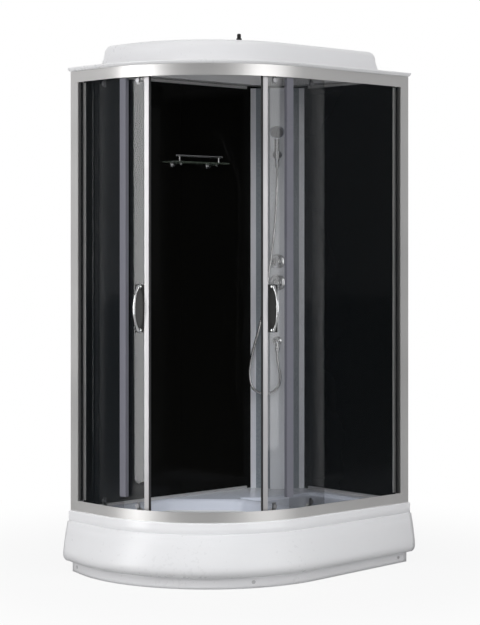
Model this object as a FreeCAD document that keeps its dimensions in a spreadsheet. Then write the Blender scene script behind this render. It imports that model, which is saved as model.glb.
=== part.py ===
import FreeCAD, Part
import math
import os
import Sketcher

# Offset-quadrant steam shower cabin: a low tray with a bowed apron, an aluminium frame with
# two curved sliding doors, black walls, a corner column with the fittings, and a domed roof.
# Origin: on the floor, under the middle of the frame's length and depth. X runs along the
# long wall, Y towards it, Z up. The rounded corner of the plan is at -X, -Y.

Vector = FreeCAD.Vector
doc = FreeCAD.newDocument("cabin")
sheet = doc.addObject("Spreadsheet::Sheet", "size")

sizes = [
    ("frameLength", 1190, "outer length of the aluminium frame along the long wall"),
    ("frameDepth", 798, "outer depth of the aluminium frame along the short wall"),
    ("sideRun", 238, "straight stretch of the frame beside the long wall, before the rounded corner"),
    ("trayHeight", 254, "floor to the top of the tray's rim"),
    ("glazedHeight", 1805, "tray's rim to the top of the frame"),
    ("trayOverhang", 8, "tray lip beyond the frame"),
    ("lipBand", 46, "height of the tray's outer lip"),
    ("lipBow", 9, "extra bow of the lip's lower edge at the rounded corner"),
    ("trayWall", 5, "thickness of the acrylic tray"),
    ("basinFloor", 110, "floor to the top of the basin's bottom"),
    ("basinInset", 72, "frame's outer face to the basin's edge at the front and left"),
    ("basinDraft", 30, "how far the basin's walls lean in"),
    ("basinRight", 118, "X of the basin's edge at the seat ledge"),
    ("basinBack", 352, "Y of the basin's edge at the long wall"),
    ("basinCut", 170, "length cut off the basin's corner by the seat ledge"),
    ("basinRound", 70, "corner radius of the basin"),
    ("dishDepth", 14, "depth of the dish in the seat ledge"),
    ("dishBack", 98, "Y of the dish's far edge"),
    ("dishRound", 30, "corner radius of the dish"),
    ("dishLand", 22, "basin's edge to the dish"),
    ("dishSide", 80, "frame's outer face to the dish at the short wall"),
    ("dishFront", 30, "basin's front edge back to the dish's"),
    ("dishBend", 85, "length of the dish's arm beside the basin's cut corner"),
    ("dishArm", 70, "reach of that arm towards the long wall"),
    ("drainX", -110, "X of the waste"),
    ("drainY", 195, "Y of the waste"),
    ("drainNeck", 24, "radius of the waste where it passes the tray"),
    ("wasteRadius", 20, "outer radius of the waste pipe"),
    ("apronTop", 11, "apron beyond the frame at its upper edge"),
    ("apronBelly", 32, "apron beyond the frame at its widest"),
    ("apronBellyZ", 80, "height of the apron's widest line"),
    ("apronFoot", 14, "apron beyond the frame at its lower edge"),
    ("apronBow", 40, "extra bow of the apron's belly at the rounded corner"),
    ("apronWall", 4, "thickness of the apron"),
    ("toeHeight", 48, "height of the apron's recessed foot"),
    ("toeInset", 17, "frame's outer face back to the foot at its ends"),
    ("toeBow", 42, "extra bow of the foot at the rounded corner"),
    ("screwCap", 9, "radius of the screw caps on the foot"),
    ("tubeSize", 30, "side of the tray frame's steel tubes"),
    ("tubeWall", 2, "wall of the tray frame's steel tubes"),
    ("footRadius", 24, "radius of the levelling feet"),
    ("studRadius", 6, "radius of the levelling feet's studs"),
    ("frontTubeInset", 184, "frame's front face to the front tube"),
    ("frontTubeStart", 200, "frame's left face to the front tube's end"),
    ("backTubeInset", 69, "frame's back edge to the front of the back tube"),
    ("backTubeStart", 95, "frame's left face to the back tube's end"),
    ("rightTubeInset", 60, "frame's right edge to the left of the right tube"),
    ("leftCrossInset", 295, "frame's left face to the left cross tube"),
    ("middleCrossInset", 345, "frame's right edge to the middle cross tube"),
    ("footReach", 55, "end of a long tube to its first foot"),
    ("railHeightLow", 42, "height of the bottom rail"),
    ("railHeightTop", 46, "height of the top rail"),
    ("railDepth", 66, "depth of both rails"),
    ("railWall", 3, "wall of the rails"),
    ("trackInset", 48.5, "frame's outer face to the lip that carries the wheels"),
    ("postLength", 50, "width of the posts along the glass"),
    ("postDepth", 30, "depth of the posts"),
    ("postStep", 2, "step between the two bands of a post's face"),
    ("fixedInset", 10, "frame's outer face to the fixed glass"),
    ("glassThick", 6, "thickness of all glass"),
    ("leftGlassAngle", 9, "angle of the corner that the left fixed glass covers"),
    ("rightGlassAngle", 6.5, "angle of the corner that the right fixed glass covers"),
    ("sealAngle", 3.2, "angle that a seal on the fixed glass covers"),
    ("doorInset", 28, "frame's outer face to the door glass"),
    ("doorAngle", 39.2, "angle of one door with its magnetic strip"),
    ("meetAngle", 226.2, "direction in which the closed doors meet"),
    ("openAngle", 24.5, "angle by which each door stands open at rest"),
    ("wheelRadius", 11, "radius of the door wheels"),
    ("wheelWidth", 9, "width of the door wheels"),
    ("wheelInset", 42.5, "frame's outer face to the wheels"),
    ("axleRadius", 3, "radius of the wheels' axles"),
    ("axlePlay", 0.05, "running clearance round an axle or spindle"),
    ("handleZ", 1093, "height of the middle of the door handles"),
    ("handlePlate", 190, "length of the plates under the door handles"),
    ("handleRadius", 141, "radius of the bow of a door handle"),
    ("handleAngle", 76, "angle of the bow of a door handle"),
    ("handleTube", 6, "radius of a door handle's bar"),
    ("wallInset", 15, "frame's outer face to the walls' inner face"),
    ("wallThick", 6, "thickness of the wall panels"),
    ("wallJoint", -4, "X of the joint between the two long wall panels"),
    ("trimHeight", 12, "height of the trims on the walls"),
    ("trimDepth", 8, "depth of the trims on the walls"),
    ("columnSide", 171, "length of each wall that the corner column covers"),
    ("columnBelly", 24, "column's facets ahead of the line through its edges"),
    ("columnWall", 4, "thickness of the column"),
    ("coverHalf", 34, "half width of the column's raised centre"),
    ("coverRise", 12, "rise of the column's centre"),
    ("roofOverhang", 18, "roof flange beyond the frame"),
    ("roofFlange", 15, "thickness of the roof's flange"),
    ("domeInset", 76, "frame's outer face to the dome's foot"),
    ("domeHeight", 94, "height of the dome above the flange"),
    ("domeRound", 50, "corner radius of the dome's plan"),
    ("roofWall", 4, "thickness of the roof"),
    ("glandInset", 64, "dome's foot to the cable gland's axis"),
    ("shelfX", 44, "X of the glass shelf's middle"),
    ("shelfZ", 1702, "height of the glass shelf"),
    ("shelfWidth", 320, "width of the glass shelf"),
    ("shelfReach", 84, "wall to the front edge of the glass shelf"),
    ("plateRadius", 33, "radius of the diverter's plate"),
    ("mixerRadius", 36, "radius of the mixer's plate"),
    ("knobRadius", 21, "radius of the round knobs"),
    ("neckRadius", 12, "radius of the necks that pass through the column"),
    ("spindleRadius", 5, "radius of the knobs' spindles"),
    ("mixerZ", 1177, "height of the mixer"),
    ("diverterRise", 94, "mixer to the diverter above it"),
    ("outletDrop", 260, "mixer to the hose outlet below it"),
    ("inletRise", 48, "mixer to the level of the water inlets"),
    ("inletRadius", 10.48, "outer radius of the water inlets' half inch threads"),
    ("holderRise", 571, "mixer to the handset's holder above it"),
    ("gripRadius", 12, "radius of the handset's grip in its holder"),
    ("headRadius", 32.5, "radius of the handset's head"),
    ("hoseDiameter", 12, "diameter of the shower hose"),
    ("seamGap", 0.3, "clearance between curved faces that fit each other"),
]
for line, (alias, number, meaning) in enumerate(sizes, 1):
    sheet.set("A%d" % line, meaning)
    sheet.set("B%d" % line, str(number))
    sheet.setAlias("B%d" % line, alias)
doc.recompute()


class Size:
    """A length that knows its number and the expression that gives it."""

    def __init__(self, text, value):
        self.text = text
        self.value = value

    def __add__(self, other):
        other = asSize(other)
        return Size("(%s + %s)" % (self.text, other.text), self.value + other.value)

    def __sub__(self, other):
        other = asSize(other)
        return Size("(%s - %s)" % (self.text, other.text), self.value - other.value)

    def __mul__(self, other):
        other = asSize(other)
        return Size("(%s * %s)" % (self.text, other.text), self.value * other.value)

    def __truediv__(self, other):
        other = asSize(other)
        return Size("(%s / %s)" % (self.text, other.text), self.value / other.value)

    def __radd__(self, other):
        return asSize(other) + self

    def __rsub__(self, other):
        return asSize(other) - self

    def __rmul__(self, other):
        return asSize(other) * self

    def __neg__(self):
        return asSize(0) - self


def asSize(number):
    if isinstance(number, Size):
        return number
    return Size("(%.12g)" % number, float(number))


def size(alias):
    return Size("size." + alias, float(sheet.get(alias)))


def cosine(angle):
    return Size("cos(%s)" % angle.text, math.cos(math.radians(angle.value)))


# How a sub-part is bound to the sheet.

def bind(thing, prop, length):
    """Sets a property by its number and its expression."""
    length = asSize(length)
    if "." not in prop:
        setattr(thing, prop, length.value)
    thing.setExpression(prop, length.text)


def place(thing, x, y, z, turn=0, lean=0, roll=0):
    """Puts a sub-part at x, y, z: rolled about its X, leaned about its Y, turned about Z."""
    turn, lean, roll = asSize(turn), asSize(lean), asSize(roll)
    spin = FreeCAD.Rotation(turn.value, lean.value, roll.value)
    x, y, z = asSize(x), asSize(y), asSize(z)
    thing.Placement = FreeCAD.Placement(Vector(x.value, y.value, z.value), spin)
    thing.setExpression("Placement", "placement(vector(%s; %s; %s); rotation(%s; %s; %s))" % (
        x.text, y.text, z.text, turn.text, lean.text, roll.text))
    return thing


def belt(first, second):
    """The straight run from one mark to the next, tangent to those that are round."""
    run = Vector(second[0] - first[0], second[1] - first[1], 0)
    turn = math.asin((first[2] - second[2]) / run.Length)
    heading = math.atan2(run.y, run.x) + turn
    ends = []
    for mark in (first, second):
        ends.append(Vector(mark[0] + mark[2] * math.sin(heading),
                           mark[1] - mark[2] * math.cos(heading), 0))
    return ends


def fix(sketch, kind, places, entry):
    """One dimension of a sketch, bound to its size."""
    rule = sketch.addConstraint(Sketcher.Constraint(kind, *places, entry.value))
    sketch.setExpression("Constraints[%d]" % rule, entry.text)


def roundMark(sketch, mark, arrive, leave, before, after):
    """The arc round a mark, tangent to the straight runs before and after it."""
    x, y, radius = mark
    centre = Vector(x.value, y.value, 0)
    circle = Part.Circle(centre, Vector(0, 0, 1), abs(radius.value))
    arrive, leave = arrive - centre, leave - centre
    angles = [math.atan2(arrive.y, arrive.x), math.atan2(leave.y, leave.x)]
    sides = [1, 2]
    if radius.value < 0:
        angles.reverse()
        sides.reverse()
        radius = -radius
    if angles[1] < angles[0]:
        angles[1] += 2 * math.pi
    arc = sketch.addGeometry(Part.ArcOfCircle(circle, angles[0], angles[1]), False)
    sketch.addConstraint(Sketcher.Constraint("Tangent", before, 2, arc, sides[0]))
    sketch.addConstraint(Sketcher.Constraint("Tangent", after, 1, arc, sides[1]))
    fix(sketch, "Radius", (arc,), radius)
    return arc


def outline(sketch, marks):
    """Draws a closed outline round its marks: corners (x, y) and rounds (x, y, radius).

    A round with a positive radius is passed with a left turn, a negative one with a right turn.
    A single round is a full circle.
    """
    marks = [[asSize(entry) for entry in mark] for mark in marks]
    spots = [[entry.value for entry in mark] + [0] * (3 - len(mark)) for mark in marks]
    count = len(marks)
    if count == 1:
        x, y, radius = marks[0]
        circle = Part.Circle(Vector(x.value, y.value, 0), Vector(0, 0, 1), radius.value)
        ring = sketch.addGeometry(circle, False)
        fix(sketch, "DistanceX", (-1, 1, ring, 3), x)
        fix(sketch, "DistanceY", (-1, 1, ring, 3), y)
        fix(sketch, "Radius", (ring,), radius)
        return
    first = sketch.GeometryCount
    runs = [belt(spots[i], spots[(i + 1) % count]) for i in range(count)]
    for start, end in runs:
        sketch.addGeometry(Part.LineSegment(start, end), False)
    for i, mark in enumerate(marks):
        before = first + (i - 1) % count
        after = first + i
        if len(mark) == 2:
            pinned, spot = after, 1
            sketch.addConstraint(Sketcher.Constraint("Coincident", before, 2, after, 1))
        else:
            pinned = roundMark(sketch, mark, runs[i - 1][1], runs[i][0], before, after)
            spot = 3
        fix(sketch, "DistanceX", (-1, 1, pinned, spot), mark[0])
        fix(sketch, "DistanceY", (-1, 1, pinned, spot), mark[1])


def newBody(label):
    body = doc.addObject("PartDesign::Body", label)
    body.Label = label
    return body


def newSketch(body, role, loops, level=0):
    """A sketch on one of the body's own planes, lifted by a level."""
    sketch = body.newObject("Sketcher::SketchObject", body.Name + "_sketch")
    plane = [face for face in body.Origin.OriginFeatures if face.Role == role][0]
    sketch.AttachmentSupport = [(plane, "")]
    sketch.MapMode = "FlatFace"
    bind(sketch, "AttachmentOffset.Base.z", level)
    for marks in loops:
        outline(sketch, marks)
    return sketch


def pad(body, loops, level, height):
    """An upright block of an outline, from a level up."""
    feature = body.newObject("PartDesign::Pad", body.Name + "_pad")
    feature.Profile = newSketch(body, "XY_Plane", loops, level)
    bind(feature, "Length", height)
    return feature


def pocket(body, loops, level, depth):
    """A hollow of an outline, from a level down."""
    feature = body.newObject("PartDesign::Pocket", body.Name + "_pocket")
    feature.Profile = newSketch(body, "XY_Plane", loops, level)
    bind(feature, "Length", depth)
    return feature


def loft(body, kind, sections):
    """A solid or hollow through outlines at several levels."""
    feature = body.newObject("PartDesign::" + kind, body.Name + "_loft")
    sketches = [newSketch(body, "XY_Plane", [marks], level) for level, marks in sections]
    feature.Profile = sketches[0]
    feature.Sections = sketches[1:]
    feature.Ruled = True
    return feature


def turned(label, marks, angle=360):
    """A body turned about its Z from a half profile of (radius, height) marks."""
    body = newBody(label)
    feature = body.newObject("PartDesign::Revolution", body.Name + "_turn")
    profile = newSketch(body, "XZ_Plane", [marks])
    feature.Profile = profile
    feature.ReferenceAxis = (profile, ["V_Axis"])
    bind(feature, "Angle", angle)
    return body


def rectangle(left, right, low, high):
    return [(left, low), (right, low), (right, high), (left, high)]


def slab(label, left, right, front, back, low, high):
    box = doc.addObject("Part::Box", label)
    box.Label = label
    bind(box, "Length", right - left)
    bind(box, "Width", back - front)
    bind(box, "Height", high - low)
    return place(box, left, front, low)


def rod(label, radius, length):
    cylinder = doc.addObject("Part::Cylinder", label)
    cylinder.Label = label
    bind(cylinder, "Radius", radius)
    bind(cylinder, "Height", length)
    return cylinder


def join(label, pieces):
    """One solid of pieces that touch."""
    fused = doc.addObject("Part::MultiFuse", label)
    fused.Label = label
    fused.Shapes = pieces
    fused.Refine = True
    return fused


def cut(label, base, tools):
    result = doc.addObject("Part::Cut", label)
    result.Label = label
    result.Base = base
    result.Tool = tools[0] if len(tools) == 1 else join(label + "_tools", tools)
    return result


def together(label, pieces):
    """Separate pieces of one kind, kept in one sub-part."""
    compound = doc.addObject("Part::Compound", label)
    compound.Label = label
    compound.Links = pieces
    return compound


def aim(thing, spot, along, across=Vector(0, 0, 1)):
    """Puts a sub-part at a spot with its own Z along a direction and its X as near across as fits."""
    side = along.cross(across)
    if side.Length < 1e-6:
        side = Vector(1, 0, 0).cross(along)
    side.normalize()
    level = side.cross(along)
    thing.Placement = FreeCAD.Placement(spot, FreeCAD.Rotation(level, side, along, "ZXY"))
    return thing


# The plan, counted inwards from the frame's outer face.

halfLength = size("frameLength") / 2
halfDepth = size("frameDepth") / 2
corner = size("frameDepth") - size("sideRun")
centreX = corner - halfLength
centreY = corner - halfDepth
rim = size("trayHeight")
frameTop = rim + size("glazedHeight")
sideEnd = halfDepth - size("postLength")
frontEnd = halfLength - size("postLength")
seam = size("seamGap")


def strip(outer, inner, back=halfDepth, right=halfLength):
    """A band that follows the left side, the rounded corner and the front."""
    return [(outer - halfLength, back), (centreX, centreY, corner - outer),
            (right, outer - halfDepth), (right, inner - halfDepth),
            (centreX, centreY, inner - corner), (inner - halfLength, back)]


def bowed(beyond, bow, wall):
    """A band outside the frame, with a further bow at the rounded corner."""
    radius = corner + beyond + bow
    return [(-halfLength - beyond, halfDepth), (centreX, centreY, radius),
            (halfLength, -halfDepth - beyond), (halfLength, wall - halfDepth - beyond),
            (centreX, centreY, wall - radius), (wall - halfLength - beyond, halfDepth)]


def plate(inset):
    """The whole plan up to both walls."""
    return [(inset - halfLength, halfDepth), (centreX, centreY, corner - inset),
            (halfLength, inset - halfDepth), (halfLength, halfDepth)]


def basin(inset):
    """The basin's edge, drawn in by an inset; the seat ledge cuts off its far corner."""
    turn = size("basinRound")
    left = size("basinInset") - halfLength + turn
    front = size("basinInset") - halfDepth + turn
    right = size("basinRight") - turn
    back = size("basinBack") - turn
    trim = size("basinCut")
    return [(left, back, turn - inset),
            (centreX, centreY, corner - size("basinInset") - inset),
            (right, front, turn - inset), (right, back - trim, turn - inset),
            (right - trim, back, turn - inset)]


def dish(inset):
    """The dish in the seat ledge, in front of the column."""
    turn = size("dishRound")
    left = size("basinRight") + size("dishLand") + turn
    right = halfLength - size("dishSide") - turn
    front = size("basinInset") - halfDepth + size("dishFront") + turn
    back = size("dishBack") - turn
    return [(left, front, turn - inset), (right, front, turn - inset), (right, back, turn - inset),
            (left + size("dishBend"), back + turn - inset),
            (left, back + size("dishArm"), turn - inset)]


# The tray, its apron and what carries them.

tray = newBody("tray_basin")
shelfLevel = rim - size("trayWall")
loft(tray, "AdditiveLoft", [
    (rim - size("lipBand"), bowed(size("trayOverhang"), size("lipBow"), size("trayWall"))),
    (rim, bowed(size("trayOverhang"), asSize(0), size("trayWall")))])
pad(tray, [plate(-size("trayOverhang"))], shelfLevel, size("trayWall"))
pad(tray, [dish(-size("trayWall"))], shelfLevel - size("dishDepth"), size("dishDepth") + 1)
loft(tray, "AdditiveLoft", [
    (shelfLevel + 1, basin(-size("trayWall"))),
    (size("basinFloor") - size("trayWall"), basin(size("basinDraft") - size("trayWall")))])
loft(tray, "SubtractiveLoft", [(rim, basin(asSize(0))), (size("basinFloor"), basin(size("basinDraft")))])
pocket(tray, [dish(asSize(0))], rim, size("dishDepth"))
drainSpot = (size("drainX"), size("drainY"))
pocket(tray, [[drainSpot + (size("drainNeck") + seam,)]], size("basinFloor") + 1, size("trayWall") + 2)

apron = newBody("front_apron")
apronWall = size("apronWall")
seamLevel = rim - size("lipBand")
seamBow = size("lipBow") + 1
footBow = size("apronBow") - 10
loft(apron, "AdditiveLoft", [
    (size("toeHeight"), bowed(size("apronFoot"), footBow, apronWall)),
    (size("apronBellyZ"), bowed(size("apronBelly"), size("apronBow"), apronWall)),
    (seamLevel, bowed(size("apronTop"), seamBow, apronWall))])
pad(apron, [bowed(size("apronTop"), seamBow, apronWall * 2)],
    seamLevel - apronWall, apronWall)
pad(apron, [bowed(size("apronFoot"), footBow,
                  size("apronFoot") + size("toeInset") + apronWall)], size("toeHeight"), apronWall)
pad(apron, [bowed(-size("toeInset"), size("toeBow"), apronWall)], asSize(0), size("toeHeight") + 1)


def toeSpot(angle):
    """A point on the foot's outer face where it curves, at an angle round the plan's centre."""
    radius = (corner - size("toeInset") + size("toeBow")).value
    out = Vector(math.cos(math.radians(angle)), math.sin(math.radians(angle)), 0)
    return Vector(centreX.value, centreY.value, size("toeHeight").value / 2) + out * radius, out


def toeEnd(sign, along):
    """A point on the foot's straight stretch, counted from its end on a wall."""
    ends = bowed(-size("toeInset"), size("toeBow"), apronWall)
    tip = ends[0] if sign < 0 else ends[2]
    tip = Vector(tip[0].value, tip[1].value, size("toeHeight").value / 2)
    centre = Vector(centreX.value, centreY.value, tip.z)
    radius = (corner - size("toeInset") + size("toeBow")).value
    reach = centre - tip
    lean = math.asin(radius / reach.Length) * sign * -1
    run = FreeCAD.Rotation(Vector(0, 0, 1), -math.degrees(lean)).multVec(reach)
    run.normalize()
    out = Vector(run.y, -run.x, 0) * sign * -1
    return tip + run * along, out


caps = []
for spot, out in (toeEnd(-1, 45), toeSpot(245), toeEnd(1, 55)):
    cap = rod("screw_cap", size("screwCap"), apronWall)
    caps.append(aim(cap, spot, out))
together("apron_screws", caps)

tube = size("tubeSize")
frameTopZ = size("basinFloor") - size("trayWall")
frameLowZ = frameTopZ - tube


def squareTube(label, spot, length, turn=0, lean=0):
    """A square steel tube along X, turned or stood up from a corner."""
    outer = slab(label + "_outer", asSize(0), length, asSize(0), tube, asSize(0), tube)
    wall = size("tubeWall")
    inner = slab(label + "_inner", asSize(0), length, wall, tube - wall, wall, tube - wall)
    hollow = cut(label, outer, [inner])
    return place(hollow, spot[0], spot[1], spot[2], turn, lean)


frontTubeX = size("frontTubeStart") - halfLength
frontTubeY = size("frontTubeInset") - halfDepth
backTubeX = size("backTubeStart") - halfLength
backTubeY = halfDepth - size("backTubeInset")
rightTubeX = halfLength - size("rightTubeInset")
leftCrossX = size("leftCrossInset") - halfLength
middleCrossX = halfLength - size("middleCrossInset")
tubes = [squareTube("front_tube", (frontTubeX, frontTubeY, frameLowZ), rightTubeX - frontTubeX + tube),
         squareTube("back_tube", (backTubeX, backTubeY, frameLowZ), rightTubeX - backTubeX + tube)]
crossLength = backTubeY - frontTubeY - tube
for number, x in enumerate((leftCrossX, middleCrossX, rightTubeX)):
    tubes.append(squareTube("cross_tube_%d" % number, (x + tube, frontTubeY + tube, frameLowZ),
                            crossLength, 90))
legLength = shelfLevel - frameTopZ
for number, y in enumerate((frontTubeY, backTubeY)):
    tubes.append(squareTube("ledge_leg_%d" % number, (rightTubeX, y, shelfLevel), legLength, 0, 90))
together("tray_frame", tubes)

footPad = 5
footNeck = 12
backFootShift = 15
stud = size("studRadius")
feet = []
for y, leftFootX in ((frontTubeY, frontTubeX + size("footReach")),
                     (backTubeY, backTubeX + size("footReach") - backFootShift)):
    for x in (leftFootX, middleCrossX + tube / 2, rightTubeX + tube / 2):
        foot = turned("foot", [(0, 0), (size("footRadius"), 0), (size("footRadius"), footPad),
                               (stud + 3, footNeck), (stud, footNeck), (stud, frameLowZ), (0, frameLowZ)])
        feet.append(place(foot, x, y + tube / 2, 0))
together("levelling_feet", feet)

neck = size("drainNeck")
trapTop = size("basinFloor") - size("trayWall")
trapBowl = neck + 20
trapWall = 3
trapBase = 20
trapSlope = 8
trapLid = trapTop - trapWall * 4
trapInner = trapBowl - trapWall
trapFloor = trapBase + trapWall
trap = turned("trap_bowl", [
    (0, trapBase), (trapBowl - trapSlope, trapBase), (trapBowl, trapBase + trapSlope),
    (trapBowl, trapTop), (neck, trapTop), (neck, size("basinFloor")),
    (neck - trapWall, size("basinFloor")), (neck - trapWall, trapLid), (trapInner, trapLid),
    (trapInner, trapFloor + trapSlope), (trapInner - trapSlope, trapFloor), (0, trapFloor)])
place(trap, drainSpot[0], drainSpot[1], 0)
waste = size("wasteRadius")
wasteZ = asSize(46)
wasteWall = 2
wasteBite = 6
nutWall = 5
nutReach = asSize(24)
wasteStart = size("drainY") + trapBowl - wasteBite
wasteEnd = halfDepth - 4
wastePipe = rod("waste_pipe", waste, wasteEnd - wasteStart)
place(wastePipe, drainSpot[0], wasteStart, wasteZ, 0, 0, -90)
wasteNut = rod("waste_nut", waste + nutWall, nutReach)
place(wasteNut, drainSpot[0], wasteStart, wasteZ, 0, 0, -90)
wasteBore = rod("waste_bore", waste - wasteWall, wasteEnd - wasteStart + 20)
place(wasteBore, drainSpot[0], wasteStart - 10, wasteZ, 0, 0, -90)
cut("waste_trap", join("trap_shell", [trap, wastePipe, wasteNut]), [wasteBore])
coverRim = neck + 17
coverLow = size("basinFloor") - trapTop
coverTop = 12
cover = turned("drain_cover", [(0, 0), (neck - trapWall - 1, 0), (neck - trapWall - 1, coverLow),
                               (coverRim - 1, coverLow), (coverRim, coverLow + 1),
                               (coverRim - 7, coverTop - 2), (0, coverTop)])
place(cover, drainSpot[0], drainSpot[1], trapTop)


# The walls and their trims.

wallFace = halfDepth - size("wallInset")
shortFace = halfLength - size("wallInset")
thick = size("wallThick")
postDepth = size("postDepth")
jointHalf = 0.5
slab("long_wall_left", postDepth - halfLength, size("wallJoint") - jointHalf,
     wallFace, wallFace + thick, rim, frameTop)
slab("long_wall_right", size("wallJoint") + jointHalf, shortFace + thick,
     wallFace, wallFace + thick, rim, frameTop)
shortWall = slab("short_wall_sheet", shortFace, shortFace + thick, postDepth - halfDepth, wallFace,
                 rim, frameTop)
mixerZ = size("mixerZ")
diverterZ = mixerZ + size("diverterRise")
outletZ = mixerZ - size("outletDrop")
inletZ = mixerZ + size("inletRise")
holderZ = mixerZ + size("holderRise")
inletHalf = 30
inletMiddle = wallFace - size("columnSide") / 2
inletY = [inletMiddle - inletHalf, inletMiddle + inletHalf]
holes = []
for y in inletY:
    hole = rod("inlet_hole", size("inletRadius") + 9, thick * 3)
    holes.append(place(hole, shortFace - thick, y, inletZ, 0, 90))
cut("short_wall", shortWall, holes)
columnEdgeX = shortFace - size("columnSide")
columnEdgeY = wallFace - size("columnSide")
trimGap = asSize(30)
trimDrop = 2
trimStart = 4
railInner = size("railDepth")
for label, low in (("wall_top_trims", frameTop - size("trimHeight") - trimDrop), ("wall_base_trims", rim)):
    longTrim = slab(label + "_long", railInner - halfLength + trimStart, columnEdgeX - trimGap,
                    wallFace - size("trimDepth"), wallFace, low, low + size("trimHeight"))
    shortTrim = slab(label + "_short", shortFace - size("trimDepth"), shortFace,
                     railInner - halfDepth + trimStart, columnEdgeY - trimGap, low, low + size("trimHeight"))
    together(label, [longTrim, shortTrim])


# The corner column, in its own frame: X along the line through its edges, -Y into the room.

diagonal = size("columnSide") * cosine(asSize(45))
columnX = (columnEdgeX + shortFace) / 2
columnY = (columnEdgeY + wallFace) / 2
columnLow = rim
columnHigh = frameTop - 10
belly = size("columnBelly")
coverHalf = size("coverHalf")
skin = size("columnWall")
coverFront = belly + size("coverRise")


def onColumn(thing, lift=0):
    return place(thing, columnX, columnY, lift, -45)


def columnSpot(along, out, height):
    """A point counted along the column's width, out into the room, and up."""
    turn = math.sqrt(0.5)
    return Vector(columnX.value + (along - out) * turn, columnY.value - (along + out) * turn, height)


outward = Vector(-1, -1, 0).normalize()

flange = asSize(10)
edge = skin * math.sqrt(2)
foldGap = 4
shell = newBody("column_sheet")
pad(shell, [[(-diagonal, 0), (-coverHalf, -belly), (coverHalf, -belly), (diagonal, 0),
             (diagonal - flange, flange), (diagonal - flange - edge / 2, flange - edge / 2),
             (diagonal - edge - foldGap, 0), (coverHalf, skin - belly), (-coverHalf, skin - belly),
             (foldGap + edge - diagonal, 0), (flange + edge / 2 - diagonal, flange - edge / 2),
             (flange - diagonal, flange)]], columnLow, columnHigh - columnLow)
onColumn(shell)


def neckHoles(label):
    """Cutters for the necks that pass through the column's centre."""
    cutters = []
    for height in (diverterZ, mixerZ, outletZ):
        hole = rod(label, size("neckRadius") + seam, belly + size("coverRise") + 10)
        cutters.append(place(hole, columnX, columnY, height, -45, 0, 90))
    return cutters


cut("corner_column", shell, neckHoles("column_hole"))
raised = newBody("cover_block")
coverLean = 2
pad(raised, [[(-coverHalf, -belly), (coverLean - coverHalf, -coverFront),
              (coverHalf - coverLean, -coverFront),
              (coverHalf, -belly)]], columnLow, columnHigh - columnLow)
onColumn(raised)
cut("column_cover", raised, neckHoles("cover_hole"))
trims = []
trimRun = 0.28
trimThick = 4
for side in (-1, 1):
    bar = newBody("column_trim")
    tip = diagonal * side
    inside = (diagonal - (diagonal - coverHalf) * trimRun) * side
    pad(bar, [[(tip, 0), (inside, -belly * trimRun), (inside, -belly * trimRun - trimThick),
               (tip, -trimThick)]],
        columnLow, columnHigh - columnLow)
    trims.append(onColumn(bar))
together("column_trims", trims)


# The frame: two posts, two rails, the fixed glass and its seals.

postStep = size("postStep")
postLength = size("postLength")
railWall = size("railWall")
leafLow = rim + size("railHeightLow") + 3
leafHigh = frameTop - size("railHeightTop") - 3
leafReach = 26
leafDepth = (20, 22.5)


def post(label, spot):
    """A hollow post; spot gives X and Y from the way along the glass and the depth."""
    body = newBody(label)
    half = postLength / 2
    face = [(0, postStep), (half, postStep), (half, 0), (postLength, 0), (postLength, postDepth),
            (0, postDepth)]
    hollow = rectangle(asSize(railWall), postLength - railWall, postStep + railWall,
                       postDepth - railWall)
    leaf = rectangle(postLength - 1, postLength + leafReach, asSize(leafDepth[0]), asSize(leafDepth[1]))
    pad(body, [[spot(*mark) for mark in face], [spot(*mark) for mark in hollow]],
        rim, size("glazedHeight"))
    pad(body, [[spot(*mark) for mark in leaf]], leafLow, leafHigh - leafLow)
    return body


def leftSpot(along, depth):
    return asSize(depth) - halfLength, halfDepth - along


def rightSpot(along, depth):
    return halfLength - along, asSize(depth) - halfDepth


post("left_post", leftSpot)
post("right_post", rightSpot)


def ring(outer, inner):
    return strip(asSize(outer), asSize(inner), sideEnd, frontEnd)


fixedInset = size("fixedInset")
glass = size("glassThick")
grooveWall = fixedInset + glass + 2
grooveThick = 2
lowGroove = asSize(31)
highGroove = asSize(34)
track = size("trackInset")
wheel = size("wheelRadius")
lowTrack = rim + 21
bottomRail = newBody("bottom_rail")
pad(bottomRail, [ring(0, railInner)], rim, railWall)
pad(bottomRail, [ring(0, railWall)], rim, size("railHeightLow"))
pad(bottomRail, [ring(grooveWall, grooveWall + grooveThick)], rim, lowGroove)
pad(bottomRail, [ring(railInner - railWall, railInner)], rim, lowTrack - rim)
pad(bottomRail, [ring(track, railInner)], lowTrack - railWall, railWall)

highTrack = frameTop - 26
topRail = newBody("top_rail")
pad(topRail, [ring(0, railInner)], frameTop - railWall, railWall)
pad(topRail, [ring(0, railWall)], frameTop - size("railHeightTop"), size("railHeightTop"))
pad(topRail, [ring(grooveWall, grooveWall + grooveThick)], frameTop - highGroove, highGroove)
pad(topRail, [ring(railInner - railWall, railInner)], highTrack - railWall, frameTop - highTrack + railWall)
pad(topRail, [ring(track, railInner)], highTrack - railWall, railWall)


def arcPiece(label, start, sweep, nearInset, farInset, low, high):
    """A piece bent round the plan's centre, between two insets and two levels."""
    piece = turned(label, rectangle(corner - farInset, corner - nearInset, low, high), sweep)
    return place(piece, centreX, centreY, 0, start)


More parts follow.
